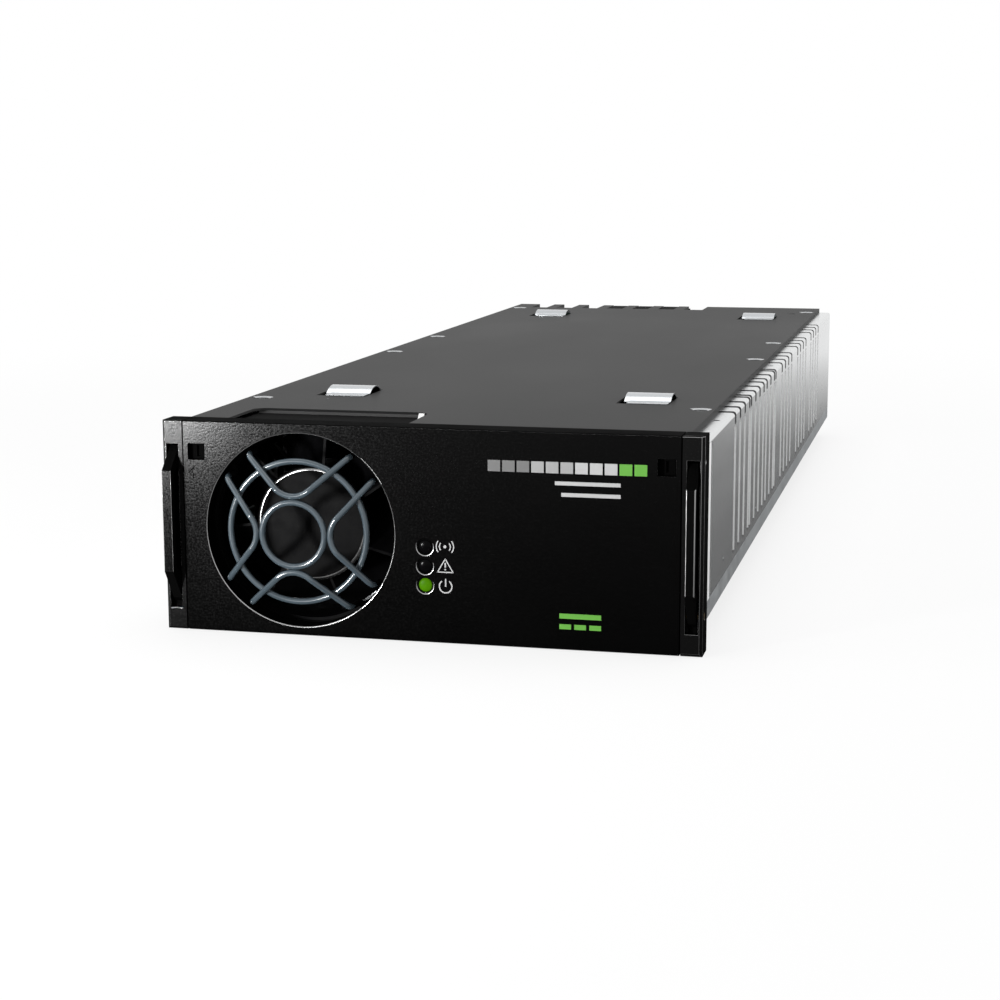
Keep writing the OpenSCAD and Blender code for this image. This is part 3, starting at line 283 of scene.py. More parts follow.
def make_finish(name, colours, gloss, grain, cloud=20, height=0.01, stretch=(1, 1, 1),
                specular=0.5, shader={}, glittering=False):
    """colours: two hex values; gloss: lowest and highest roughness; grain and cloud: sizes in
    mm; height: depth of the grain in mm; shader: constants for the shader's own sockets;
    glittering: the gloss changes from grain to grain and not from cloud to cloud."""
    material = bpy.data.materials.new(name)
    tree = empty_tree(material)
    place_on = add_node(tree, "TexCoord").outputs["Object"]
    drawn_out = add_node(tree, "Mapping", {"Vector": place_on, "Scale": stretch})
    clouds = add_node(tree, "TexNoise",
                      {"Vector": drawn_out.outputs[0], "Scale": per_mm(cloud), "Detail": 4.0})
    dark, light = map(to_linear, colours)
    colour = add_node(tree, "Mix", {0: clouds.outputs[0], 6: dark, 7: light}, data_type="RGBA")
    fine = add_node(tree, "TexNoise",
                    {"Vector": drawn_out.outputs[0], "Scale": per_mm(grain), "Detail": 2.0})
    changing = fine if glittering else clouds
    rough = add_node(tree, "MapRange",
                     {"Value": changing.outputs[0], "From Min": NOISE_LOW, "From Max": NOISE_HIGH,
                      "To Min": gloss[0], "To Max": gloss[1]})
    bump = add_node(tree, "Bump", {"Height": fine.outputs[0], "Distance": height * MM})
    surface = add_node(tree, "BsdfPrincipled",
                       {"Base Color": colour.outputs[2], "Roughness": rough.outputs[0],
                        "Normal": bump.outputs[0], "Specular IOR Level": specular, **shader})
    add_node(tree, "OutputMaterial", {"Surface": surface.outputs[0]})
    FINISHES[name] = material
    return material


print("surface recipe ready")

# %% [markdown]
# ## Sheet metal
#
# The pan is hot-dip galvanised sheet, whose zinc freezes in dull flakes. The side panels and
# the front frame are bright electro-galvanised sheet with the fine lines of the rolling mill.
# The cover is the same sheet under a grey satin powder coat, which hardly shines.

# %% Sheet metal finishes
# Galvanised sheet: soft light and dark flakes about 7 mm across
make_finish("Galvanised_Sheet", ("#a0a3a5", "#b8bbbd"), (0.42, 0.55), 0.8, cloud=7, height=0.006,
            shader=METAL)
# Bright electro-galvanised sheet, rolled: pale and silky, with lines along the case
make_finish("Rolled_Zinc_Sheet", ("#c9cbcc", "#dcdddd"), (0.2, 0.28), 0.5, cloud=30, height=0.004,
            stretch=(1, 0.08, 1), shader=METAL)
# The same sheet where it was punched: the cut edge is duller, and darker as painted shade
make_finish("Punched_Edge_Painted_Shade", ("#5a5a5a", "#6c6c6c"), (0.45, 0.6), 0.3, cloud=6, shader=METAL)
# Bright zinc of the front frame, the grooves' pressed walls and the clip over the fan: almost
# white, partly painted highlight
make_finish("Bright_Zinc_Painted_Highlight", ("#eeeeee", "#fafafa"), (0.45, 0.55), 0.5, cloud=12, height=0.004,
            shader={"Metallic": 0.3})
# Satin powder coat on sheet steel: mid grey, low shine, faint orange peel
make_finish("Grey_Powder_Coat", ("#444444", "#494949"), (0.32, 0.38), 1.2, cloud=90, height=0.003,
            stretch=(1, 0.4, 1), specular=0.002)
# Zinc-plated small steel parts: screws, rivets and bearings
make_finish("Zinc_Plated_Steel", ("#a8abad", "#c4c6c8"), (0.22, 0.34), 0.3, cloud=4, height=0.002,
            shader=METAL)
# Hard-rolled stainless strip: bright and smooth, as springs are
make_finish("Spring_Strip", ("#b4b8bb", "#c6c8ca"), (0.14, 0.22), 0.4, cloud=12, height=0.001,
            stretch=(0.1, 1, 1), shader=METAL)
print("finishes:", len(FINISHES))

# %% [markdown]
# ## Moulded plastics
#
# The bezel is black ABS from a spark-eroded mould, which leaves a grain of three quarters of a
# millimetre that glitters where light grazes it. The handles and end housings are the same
# plastic. The fan is glass-filled polybutylene, duller and a little mottled.

# %% Plastic finishes
# Spark-eroded black ABS: deep black, small bright grains where light grazes it
make_finish("Grained_Black_ABS", ("#020202", "#040404"), (0.08, 0.26), 0.75, cloud=25,
            height=0.024, specular=0.055, glittering=True)
# Drawn walls of the same mouldings: fully matt, black from every side
make_finish("Matt_Black_ABS", ("#040404", "#060606"), (0.6, 0.7), 0.4, specular=0.004)
# Polished edges of the mould: rims, lamp dishes and roundings, which draw thin light lines
make_finish("Polished_Black_ABS", ("#060606", "#0a0a0a"), (0.18, 0.26), 0.5, cloud=15,
            height=0.002, specular=1.0, shader={"IOR": 2.4})
# Black ABS of the end housings, grained alike and a shade lighter than the bezel's
make_finish("Housing_Black_ABS", ("#090909", "#0c0c0c"), (0.12, 0.3), 0.75, height=0.026,
            specular=0.055, glittering=True)
# Glass-filled fan plastic: dark grey, dull, faintly mottled
make_finish("Fan_PBT", ("#020202", "#050506"), (0.4, 0.55), 0.6, cloud=5, specular=0.03)
# Connector body of glass-filled nylon
make_finish("Connector_Nylon", ("#101010", "#191919"), (0.6, 0.7), 0.4, cloud=8, height=0.008,
            specular=0.01)
print("finishes:", len(FINISHES))

# %% [markdown]
# ## Wire, contacts and the parts on the boards
#
# The guard is steel wire with a thin blue-grey epoxy coat, and shows sharp white lines where
# the key lamp falls on it. The parts inside the case are hidden by the cover, but each one
# still gets the finish that it has on a real board.

# %% Finishes of small parts
# Epoxy-coated wire: blue grey under a clear, glossy skin
make_finish("Coated_Wire", ("#2d373d", "#394248"), (0.2, 0.28), 0.8, cloud=9, height=0.001,
            specular=0.2, shader={"Coat Weight": 0.8, "Coat Roughness": 0.08})
# Dull black, painted shade: on the feet of the wires behind the bezel, and on the ring round
# the fan
make_finish("Painted_Shade_Black", ("#070707", "#0b0b0b"), (0.6, 0.7), 0.5, cloud=6, specular=0.02)
# Turned brass pin, browned by handling
make_finish("Brass", ("#7d5f2c", "#94743a"), (0.25, 0.35), 0.3, cloud=5, height=0.002,
            shader=METAL)
# Gold-flashed contact blades
make_finish("Gold_Contact", ("#c8a24e", "#dcb860"), (0.2, 0.28), 0.4, cloud=6, height=0.001,
            shader=METAL)
# Enamelled copper wire, wound in fine turns
make_finish("Enamelled_Copper", ("#a8561e", "#c87838"), (0.25, 0.4), 0.9, cloud=3, height=0.08,
            stretch=(1, 1, 0.15), shader=METAL)
# Extruded aluminium of the heatsinks, with die lines along the fins
make_finish("Extruded_Aluminium", ("#b9bcbe", "#c9cccd"), (0.32, 0.42), 0.4, height=0.003,
            stretch=(1, 0.06, 1), shader=METAL)
# The same extrusion anodised black, for the heatsink that shows behind the fan
make_finish("Black_Anodised_Aluminium", ("#0c0c0d", "#141415"), (0.45, 0.55), 0.4, height=0.003,
            stretch=(1, 0.06, 1), specular=0.1)
# Pressed ferrite: dark grey, close-grained and dull
make_finish("Ferrite", ("#2c2c2e", "#3a3a3c"), (0.5, 0.65), 0.4, cloud=6)
# Shrunk PET sleeve of the bulk capacitors, dark blue and glossy
make_finish("Capacitor_Sleeve", ("#232c48", "#2c3757"), (0.22, 0.3), 1.5, cloud=14)
# Epoxy-dipped film capacitors, yellow
make_finish("Yellow_Epoxy", ("#b59a28", "#c4aa3a"), (0.3, 0.4), 1.0, cloud=7, height=0.02)
# Moulded epoxy of chips, relays and transistors
make_finish("Chip_Epoxy", ("#141416", "#202022"), (0.45, 0.58), 0.3, cloud=4, height=0.006)
# Fuse bodies of glazed ceramic
make_finish("Glazed_Ceramic", ("#dcdad0", "#e8e6de"), (0.18, 0.26), 1.0, cloud=8, height=0.004)
# Black polyester sheet, laid over the fan
make_finish("Black_Polyester_Sheet", ("#161616", "#1c1c1c"), (0.5, 0.6), 0.6, specular=0.002)
# Grey strip behind the sheet, dull and rough: its light grey is painted light on the recess's
# rear wall
make_finish("Painted_Light_Grey_Strip", ("#7a7a7a", "#868686"), (0.8, 0.9), 0.6, cloud=9, height=0.1,
            specular=0.002)
# White polyester sheet, cut for the insulator and the air baffle
make_finish("Polyester_Sheet", ("#dcdad2", "#e6e4dc"), (0.35, 0.45), 0.8, cloud=25, height=0.005)
# PVC sleeve of the fan's lead
make_finish("Red_PVC", ("#9a1c1c", "#b02424"), (0.35, 0.45), 0.7, cloud=6)
# Clear epoxy bodies of the light-emitting diodes
make_finish("Clear_Epoxy", ("#dfe3e0", "#eceeea"), (0.12, 0.2), 0.9, cloud=3, height=0.004,
            shader={"Transmission Weight": 0.7})
print("finishes:", len(FINISHES))

# %% [markdown]
# A printed circuit board shows its copper tracks as lighter lines under green solder resist,
# which a brick pattern imitates. A flat ribbon cable is a row of ridges 1.27 mm apart. The
# green lamp is a lens that glows.

# %% Board, ribbon and lamp lenses
TRACK, TRACK_CELL, TRACK_SHARE = "#2f8a4e", 6, 0.05
RIBBON_PITCH, RIBBON_DEPTH = 1.27, 0.2
WAVES_PER_SCALE = 20


def shader_of(material):
    tree = material.node_tree
    where = add_node(tree, "TexCoord").outputs["Object"]
    return tree, next(n for n in tree.nodes if n.type == "BSDF_PRINCIPLED"), where


def make_board_finish():
    tree, surface, where = shader_of(make_finish(
        "Solder_Resist", ("#1a5c34", "#1f6b3a"), (0.25, 0.35), 0.8, cloud=12, height=0.004))
    plain = surface.inputs["Base Color"].links[0].from_socket
    # Tracks 0.6 mm wide, as the joints between cells 6 mm long
    black, white = to_linear("#000000"), to_linear(WHITE)
    tracks = add_node(tree, "TexBrick",
                      {"Vector": where, "Scale": per_mm(TRACK_CELL), "Mortar Size": TRACK_SHARE,
                       "Color1": black, "Color2": black, "Mortar": white})
    colour = add_node(tree, "Mix", {0: tracks.outputs["Color"], 6: plain, 7: to_linear(TRACK)},
                      data_type="RGBA")
    tree.links.new(colour.outputs[2], surface.inputs["Base Color"])


def make_ribbon_finish():
    tree, surface, where = shader_of(make_finish(
        "Ribbon_PVC", ("#8c8c8c", "#9c9c9c"), (0.4, 0.5), 0.8, cloud=10, height=0.004))
    scale = per_mm(RIBBON_PITCH) / WAVES_PER_SCALE
    ridges = add_node(tree, "TexWave", {"Vector": where, "Scale": scale}, bands_direction="Z")
    bump = add_node(tree, "Bump", {"Height": ridges.outputs["Fac"], "Distance": RIBBON_DEPTH * MM})
    tree.links.new(bump.outputs[0], surface.inputs["Normal"])


make_board_finish()
make_ribbon_finish()
# Smoked polycarbonate of the two unlit lenses: almost black and very glossy
make_finish("Smoked_Lens", ("#030303", "#050506"), (0.12, 0.18), 0.9, cloud=3, height=0.003,
            specular=0.03)
# Green polycarbonate of the lit lens: a clear green that glows softly from behind
make_finish("Green_Lens", ("#295101", "#396602"), (0.3, 0.4), 0.9, cloud=2, height=0.004,
            specular=0.02,
            shader={"Emission Strength": 0.12, "Emission Color": to_linear("#4c8403")})
# Screen inks on the bezel: thin and matt
INKS = {"Light_Grey_Ink": ("#8a8a8a", "#969696"), "Mid_Grey_Ink": ("#737373", "#7f7f7f"),
        "Dark_Grey_Ink": ("#464646", "#505050"), "Green_Ink": ("#3b7b06", "#44880c")}
for name, colours in INKS.items():
    make_finish(name, colours, (0.5, 0.6), 0.4, cloud=3, height=0.008)
# Black ink, duller still: it shows only where the bezel's sheen is missing
make_finish("Black_Ink", ("#020202", "#040404"), (0.6, 0.7), 0.4, cloud=3, height=0.004,
            specular=0.0)
print("finishes:", len(FINISHES))

# %% [markdown]
# ## Dressing the solids
#
# A solid whose shape is already right keeps its mesh and only changes its material. The
# record's slot says what each node is made of, so one table dresses them all.

# %% Dress the solids
SLOT_FINISH = {
    "zinc_steel": "Galvanised_Sheet", "pale_steel": "Rolled_Zinc_Sheet",
    "bright_steel": "Zinc_Plated_Steel", "grey_cover": "Grey_Powder_Coat",
    "black_plastic": "Grained_Black_ABS", "black_handle": "Grained_Black_ABS",
    "fan_plastic": "Fan_PBT", "guard_wire": "Coated_Wire", "spring_steel": "Spring_Strip",
    "brass_pin": "Brass", "copper": "Enamelled_Copper", "gold_contact": "Gold_Contact",
    "heatsink": "Extruded_Aluminium", "red_lead": "Red_PVC", "grey_ribbon": "Ribbon_PVC",
    "board_green": "Solder_Resist", "chip_black": "Chip_Epoxy", "ferrite": "Ferrite",
    "capacitor_sleeve": "Capacitor_Sleeve", "yellow_film": "Yellow_Epoxy",
    "ceramic": "Glazed_Ceramic", "clear_sheet": "Polyester_Sheet", "clear_resin": "Clear_Epoxy",
    "dark_lens": "Smoked_Lens", "green_lens": "Green_Lens"}


def dress_solids():
    slots = {part["node"]: part["material_slot"] for part in frame["record"]["subparts"]}
    for name, solid in NODES.items():
        finish = FINISHES[SLOT_FINISH[slots[name]]]
        for slot in solid.material_slots:
            slot.material = finish
    return slots


NODE_SLOTS = dress_solids()
# The front frame's near-white zinc is partly a painted highlight
NODES["front_frame"].material_slots[0].material = FINISHES["Bright_Zinc_Painted_Highlight"]
NODES["front_heatsink"].material_slots[0].material = FINISHES["Black_Anodised_Aluminium"]
print("dressed solids:", len(NODE_SLOTS))

# %% [markdown]
# ## Adding a piece
#
# One function turns a bmesh into an object at the origin, gives it its finishes, shades it
# smooth apart from its sharp edges, parents it to the empty of the body it rides on, and hides
# the solids it stands for. The normals are weighted by face area, so that big flat faces stay
# flat beside narrow rounded edges.

# %% Add a piece
def add_piece(name, bm, finishes, stands_for=(), body="chassis", sharp=35):
    bm.normal_update()
    piece = mesh_object(name, bm, [FINISHES[finish] for finish in finishes])
    piece.data.shade_smooth()
    piece.data.set_sharp_from_angle(angle=math.radians(sharp))
    weighted = piece.modifiers.new("Flat_Faces_Stay_Flat", "WEIGHTED_NORMAL")
    weighted.keep_sharp = True
    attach(piece, body)
    if stands_for:
        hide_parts(*stands_for)
    print(name, "faces:", len(piece.data.polygons))
    return piece


# %% [markdown]
# ## Rounding the edges of a solid
#
# No moulding or folded sheet has a knife edge: light always catches a small radius there. A
# copy of the solid is welded, its flat areas are joined into single faces, and every sharp edge
# gets a narrow bevel.

# %% Rounded copy of a solid
WELD_DISTANCE, FLAT_ANGLE = 0.001, 0.5


def welded_copy(node):
    bm = bmesh.new()
    bm.from_mesh(NODES[node].data)
    bmesh.ops.remove_doubles(bm, verts=bm.verts, dist=WELD_DISTANCE * MM)
    bmesh.ops.dissolve_limit(bm, angle_limit=math.radians(FLAT_ANGLE), verts=bm.verts,
                             edges=bm.edges)
    return bm


def sharp_edges(bm, angle=30):
    return [e for e in bm.edges
            if len(e.link_faces) == 2 and e.calc_face_angle(0) > math.radians(angle)]


def round_edges(bm, edges, radius, segments=2):
    bmesh.ops.bevel(bm, geom=edges, offset=radius * MM, offset_type="OFFSET", affect="EDGES",
                    segments=segments, profile=0.5, material=-1, clamp_overlap=True)


def rounded_copy(node, radius, segments=2):
    bm = welded_copy(node)
    round_edges(bm, sharp_edges(bm), radius, segments)
    return bm


print("edge rounding ready")

# %% [markdown]
# ## Bezel
#
# The bezel is one moulding with a round fan inlet, two square windows for the catches and
# three dished holes for the lamps. Its face is grained, while the rim of the inlet and the
# dishes were polished in the mould and catch a thin line of light.

# %% Bezel
FAN_CENTRE = (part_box("fan_rotor")[0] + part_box("fan_rotor")[1]) / 2
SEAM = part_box("front_bezel")[1].x / MM
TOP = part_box("front_bezel")[1].z
NEAR, FAR = 0.1, 99
# How far a face has to turn to count as turned, as sloping, and as square on
TURNED, SLOPING, SQUARE_ON = 0.1, 0.3, 0.98
MOULDED = ["Grained_Black_ABS", "Matt_Black_ABS", "Polished_Black_ABS"]
GRAINED, MATT, POLISHED = range(3)


def off_axis(point, centre):
    """Distance in mm of a point from an axis along Y through centre."""
    return math.hypot(point.x - centre.x, point.z - centre.z) / MM


def move_off_axis(vert, axis, distance):
    """Moves a corner square to an axis along Y, to a distance in mm from it."""
    away = off_axis(vert.co, axis)
    vert.co.x = axis.x + (vert.co.x - axis.x) * distance / away
    vert.co.z = axis.z + (vert.co.z - axis.z) * distance / away


def at_front(vert):
    return vert.co.y < BEZEL_FACE + NEAR * MM


def narrow(face, width=0.35):
    """True for the long, thin strips of a rounding."""
    return 2 * face.calc_area() < width * MM * face.calc_perimeter()


# Limits in mm: the outer chamfers, and the walls and rims of the dishes
SEAM_STRIP, CHAMFERS_ABOVE, CHAMFERS_BELOW, CHAMFER_DEPTH = 0.8, 84.2, 1.1, 3
DISH_DEPTH, DISH_WALL, DISH_RIM = 1, 4.1, 4.6


def dress_moulding(bm, level=0.3, reach=1.2, polished=(), upright=False):
    """Fronts down to level mm and the outer chamfers are grained, roundings down to reach mm
    are polished, and walls, backs and seams are matt. Walls of dishes are polished."""
    bm.normal_update()
    for face in bm.faces:
        forward, centre = -face.normal.y, face.calc_center_median()
        x, depth, z = abs(centre.x) / MM, (centre.y - BEZEL_FACE) / MM, centre.z / MM
        at_seam = abs(x - SEAM) < SEAM_STRIP and abs(face.normal.x) > TURNED
        outside = x > SEAM + 1 or z > CHAMFERS_ABOVE or z < CHAMFERS_BELOW
        sloping = forward > SLOPING and 0 < depth < CHAMFER_DEPTH
        chamfer = sloping and outside and not narrow(face)
        from_dish = min((off_axis(centre, dish) for dish in polished), default=FAR)
        in_dish = depth < DISH_DEPTH and from_dish < DISH_WALL and forward < SQUARE_ON
        # The upper half of a dish faces down and gets the matt finish: painted shade
        dish_top_shaded = from_dish < DISH_RIM and face.normal.z < -TURNED
        along = not upright or abs(face.normal.x) > abs(face.normal.z)
        edge = forward > TURNED and narrow(face) and depth < reach and not at_seam and along
        front = forward > SQUARE_ON and depth < level
        shines = (edge or in_dish) and not dish_top_shaded
        face.material_index = GRAINED if front or chamfer else POLISHED if shines else MATT


def sharpen_top(bm, chamfer=1.6, left=0.35):
    """The upper front edge is drawn up, which leaves a third of a millimetre of its chamfer."""
    for vert in bm.verts:
        if at_front(vert) and vert.co.z > TOP - chamfer * MM:
            vert.co.z = TOP - left * MM


# Round edges on the face, in mm from their axes: in the solid, and drawn in
INLET_IN_SOLID, INLET_EDGE, INLET_BAND = (39.3, 40.5), 39.15, (38.9, 39.3)
DISH_IN_SOLID, DISH_DRAWN_IN, DISH_BAND = (3.6, 4.3), 0.35, (3.2, 4.0)
INLET_ROUNDING, EDGE_ROUNDING, SHORTEST_EDGE = 0.55, 0.3, 0.9


def draw_in_rims(bm, dishes):
    """The cones of the inlet and of the dishes are steeper than in the solid."""
    for vert in filter(at_front, bm.verts):
        if INLET_IN_SOLID[0] < off_axis(vert.co, FAN_CENTRE) < INLET_IN_SOLID[1]:
            move_off_axis(vert, FAN_CENTRE, INLET_EDGE)
        for dish in dishes:
            away = off_axis(vert.co, dish)
            if DISH_IN_SOLID[0] < away < DISH_IN_SOLID[1]:
                move_off_axis(vert, dish, away - DISH_DRAWN_IN)


def on_a_rim(edge, bands):
    return all(at_front(v) for v in edge.verts) and any(
        all(low < off_axis(v.co, axis) < high for v in edge.verts)
        for axis, (low, high) in bands)


def make_bezel():
    bm = welded_copy("front_bezel")
    dishes = [(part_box(name)[0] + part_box(name)[1]) / 2
              for name in ("link_lens", "alarm_lens", "power_lens")]
    draw_in_rims(bm, dishes)
    sharpen_top(bm)
    bands = [(FAN_CENTRE, INLET_BAND)] + [(dish, DISH_BAND) for dish in dishes]
    rims = [e for e in sharp_edges(bm, 20) if on_a_rim(e, bands)]
    print("edges of round rims:", len(rims))
    round_edges(bm, rims, INLET_ROUNDING, segments=3)
    long_edges = [e for e in sharp_edges(bm, 50) if e.calc_length() > SHORTEST_EDGE * MM]
    round_edges(bm, long_edges, EDGE_ROUNDING)
    dress_moulding(bm, polished=dishes)
    add_piece("Bezel", bm, MOULDED, ["front_bezel"])


make_bezel()

# %% [markdown]
# ## End housings and handles
#
# A housing closes each end of the bezel, with a slot for the handle. The handle is a bow of
# solid plastic. Its edges are rounded more than the housing's, because a hand pulls on them.

# %% Housings and handles
SEAM_GAP = 0.5


def make_housing(side):
    bm = welded_copy(f"{side}_handle_housing")
    for vert in bm.verts:
        # The seam beside the bezel is open by half a millimetre
        if abs(abs(vert.co.x) / MM - SEAM) < NEAR:
            vert.co.x *= 1 + SEAM_GAP / SEAM
    sharpen_top(bm)
    round_edges(bm, sharp_edges(bm), 0.2)
    dress_moulding(bm, level=3.0, reach=6.0)
    add_piece(f"{side.title()}_Housing", bm, ["Housing_Black_ABS"] + MOULDED[1:],
              [f"{side}_handle_housing"])


for side in ("left", "right"):
    make_housing(side)
    bow = rounded_copy(f"{side}_handle", 0.45, segments=3)
    dress_moulding(bow, level=-5.5, reach=-5.5, upright=True)
    add_piece(f"{side.title()}_Handle", bow, MOULDED, [f"{side}_handle"],
              body=f"{side}_handle")
    add_piece(f"{side.title()}_Catch", rounded_copy(f"{side}_catch", 0.15), ["Matt_Black_ABS"],
              [f"{side}_catch"], body=f"{side}_catch")

# %% [markdown]
# ## Case
#
# The cover and the side panels are folded sheet with a very small radius on their cut edges.
# The slots of the side panels show the duller metal of a punched edge, whose darker colour is
# painted shade, and the pressed walls of the grooves below them, which face the front, get a
# near-white painted highlight.

# %% Cover and side panels
# Faces of the dimples, in mm: area, outline and depth, and how far they face up
DIMPLE_AREA, DIMPLE_OUTLINE, DIMPLE_DEPTH, DIMPLE_UP = 0.1, 8, 0.6, (0.6, 0.995)
# Slots lie between two distances from the bezel's face, and grooves below the slots' reach
SLOTTED, SLOT_REACH = (24, 617), 9.0
ACROSS = 0.9


def make_cover():
    bm = rounded_copy("top_cover", 0.12)
    bm.normal_update()
    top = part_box("top_cover")[1].z
    for face in bm.faces:
        # Where the dimples round the screws slope towards the front, bright zinc replaces the
        # coat:
        # a painted highlight
        small = (face.calc_area() > DIMPLE_AREA * MM * MM
                 and face.calc_perimeter() < DIMPLE_OUTLINE * MM)
        highlighted_slope = DIMPLE_UP[0] < face.normal.z < DIMPLE_UP[1] and face.normal.y < -TURNED
        at_top = face.calc_center_median().z > top - DIMPLE_DEPTH * MM
        face.material_index = 1 if small and highlighted_slope and at_top else 0
    add_piece("Cover", bm, ["Grey_Powder_Coat", "Zinc_Plated_Steel"], ["top_cover"])


def make_side_panel(side):
    bm = rounded_copy(f"{side}_side_panel", 0.1, segments=1)
    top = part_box(f"{side}_side_panel")[1].z
    for face in bm.faces:
        centre = face.calc_center_median()
        slotted = SLOTTED[0] < (centre.y - BEZEL_FACE) / MM < SLOTTED[1]
        by_slots = centre.z > top - SLOT_REACH * MM
        # Painted shade on the ends of the slots and the lower ends of the grooves, then a painted
        # highlight on the walls of the grooves that face the front
        cut_and_shaded = abs(face.normal.y) > ACROSS if by_slots else face.normal.z > TURNED
        lit_front_wall = face.normal.y < -ACROSS
        face.material_index = 0 if not slotted else 1 if cut_and_shaded else 2 if lit_front_wall else 0
    add_piece(f"{side.title()}_Side_Panel", bm,
              ["Rolled_Zinc_Sheet", "Punched_Edge_Painted_Shade", "Bright_Zinc_Painted_Highlight"],
              [f"{side}_side_panel"])


make_cover()
make_side_panel("left")
make_side_panel("right")

# %% [markdown]
# ## Turned shapes
#
# Lenses, rings and the fan's hub are shapes of revolution about an axis along Y. `turned` spins
# half a section, given as points (radius, depth), through a full turn with `use_merge`, which
# closes the seam. The poles are welded afterwards and the normals recalculated, because a spin
# can turn a shape inside out.

# %% Turned shapes
def turned(section, x, z, steps=48, closed=False, bm=None):
    bm = bm or bmesh.new()
    before = set(bm.verts)
    points = [bm.verts.new(place(x + radius, depth, z)) for radius, depth in section]
    edges = [bm.edges.new(pair) for pair in zip(points, points[1:])]
    if closed:
        edges.append(bm.edges.new((points[-1], points[0])))
    bmesh.ops.spin(bm, geom=points + edges, cent=place(x, 0, z), axis=(0, 1, 0),
                   angle=math.tau, steps=steps, use_merge=True)
    made = [v for v in bm.verts if v not in before]
    bmesh.ops.remove_doubles(bm, verts=made, dist=0.002 * MM)
    bmesh.ops.recalc_face_normals(bm, faces=bm.faces)
    return bm


def domed(edge_radius, edge_depth, rise, steps=6):
    """Points of a shallow dome from its edge to its pole."""
    return [(edge_radius * math.cos(a), edge_depth - rise * math.sin(a))
            for a in (math.pi / 2 * i / steps for i in range(steps + 1))]


print("turning ready")

# %% [markdown]
# ## Status lamps
#
# Each lamp is a lens pushed in from behind until its flange meets the skin. The solid has a
# flat front; the real lens is a shallow dome, which gives it one small highlight.

# %% Lamp lenses
LENS_RADIUS, FLANGE_RADIUS = 2.75, 3.55
LENS_BACK, FLANGE_BACK, FLANGE_FRONT = 6, 3.4, 2.4
DOME_EDGE, DOME_RISE = 1.0, 0.75


def make_lens(node, finish):
    low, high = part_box(node)
    x, z = (low.x + high.x) / 2 / MM, (low.z + high.z) / 2 / MM
    section = [(0, LENS_BACK), (LENS_RADIUS, LENS_BACK), (LENS_RADIUS, FLANGE_BACK),
               (FLANGE_RADIUS, FLANGE_BACK), (FLANGE_RADIUS, FLANGE_FRONT),
               (LENS_RADIUS, FLANGE_FRONT), *domed(LENS_RADIUS, DOME_EDGE, DOME_RISE)]
    add_piece(node.title(), turned(section, x, z), [finish], [node], sharp=50)


make_lens("link_lens", "Smoked_Lens")
make_lens("alarm_lens", "Smoked_Lens")
make_lens("power_lens", "Green_Lens")

# %% [markdown]
# ## Fan guard
#
# The guard is welded from round wire: two rings, and four bent wires that touch the inner ring
# with the apex of their bow, pass over the outer ring and turn back behind the bezel. Each wire
# is a curve with a round bevel, since the curve is the wire's middle line.

# %% Guard wires
WIRE_RADIUS = 1.25
INNER_RING, OUTER_RING = 12.8, 28.2
LEG_END = (20.8, 30.1)
LEG_ANGLE = math.radians(41.5)
GUARD_OUT, GUARD_RIM = 8.0, 0.6
FAN_X, FAN_Z = FAN_CENTRE.x / MM, FAN_CENTRE.z / MM
WELD_DEPTH, PAINTED_SHADE_FROM = 0.1, 1.5
BOW_STEPS, LEG_POINTS = 8, (0.15, 0.4, 0.65, 0.88)
# Behind the leg's end the wire turns back: (u from there, depth, v from there)
FOOT = ((-0.5, -0.3, -0.45), (0, 2.2, 0), (0, 6, 0), (0.3, 9.4, 0.1), (2.2, 10.2, 0.7),
        (11.45, 10.4, 4.25))


def wire_middle():
    """One leg of a wire, from the apex of its bow to its foot, as (u, depth, v) in mm."""
    apex = INNER_RING + 2 * WIRE_RADIUS - WELD_DEPTH
    straight = LEG_END[1] - LEG_END[0] * math.tan(LEG_ANGLE)
    bow = (apex - straight) * math.cos(LEG_ANGLE) / (1 - math.cos(LEG_ANGLE))
    arc = [(bow * math.sin(a), -GUARD_OUT, apex + bow * (1 - math.cos(a)))
           for a in (LEG_ANGLE * i / BOW_STEPS for i in range(BOW_STEPS + 1))]
    u0, _, v0 = arc[-1]
    leg = [(u0 + (LEG_END[0] - u0) * t, -GUARD_OUT + (GUARD_OUT - GUARD_RIM) * t,
            v0 + (LEG_END[1] - v0) * t) for t in LEG_POINTS]
    return arc + leg + [(LEG_END[0] + u, depth, LEG_END[1] + v) for u, depth, v in FOOT]


def wire_piece(name, paths, radius):
    """Joins round wires, each a list of points in metres, into one bmesh."""
    curve = bpy.data.curves.new(name, "CURVE")
    curve.dimensions = "3D"
    curve.bevel_depth = radius * MM
    curve.bevel_resolution = 5
    curve.use_fill_caps = True
    for points in paths:
        spline = curve.splines.new("NURBS")
        spline.points.add(len(points) - 1)
        for slot, point in zip(spline.points, points):
            slot.co = (*point, 1)
        spline.order_u = 3
        spline.use_endpoint_u = True
        spline.resolution_u = 3
    holder = bpy.data.objects.new(name, curve)
    mesh = bpy.data.meshes.new_from_object(holder)
    bm = bmesh.new()
    bm.from_mesh(mesh)
    bpy.data.objects.remove(holder)
    bpy.data.curves.remove(curve)
    bpy.data.meshes.remove(mesh)
    return bm


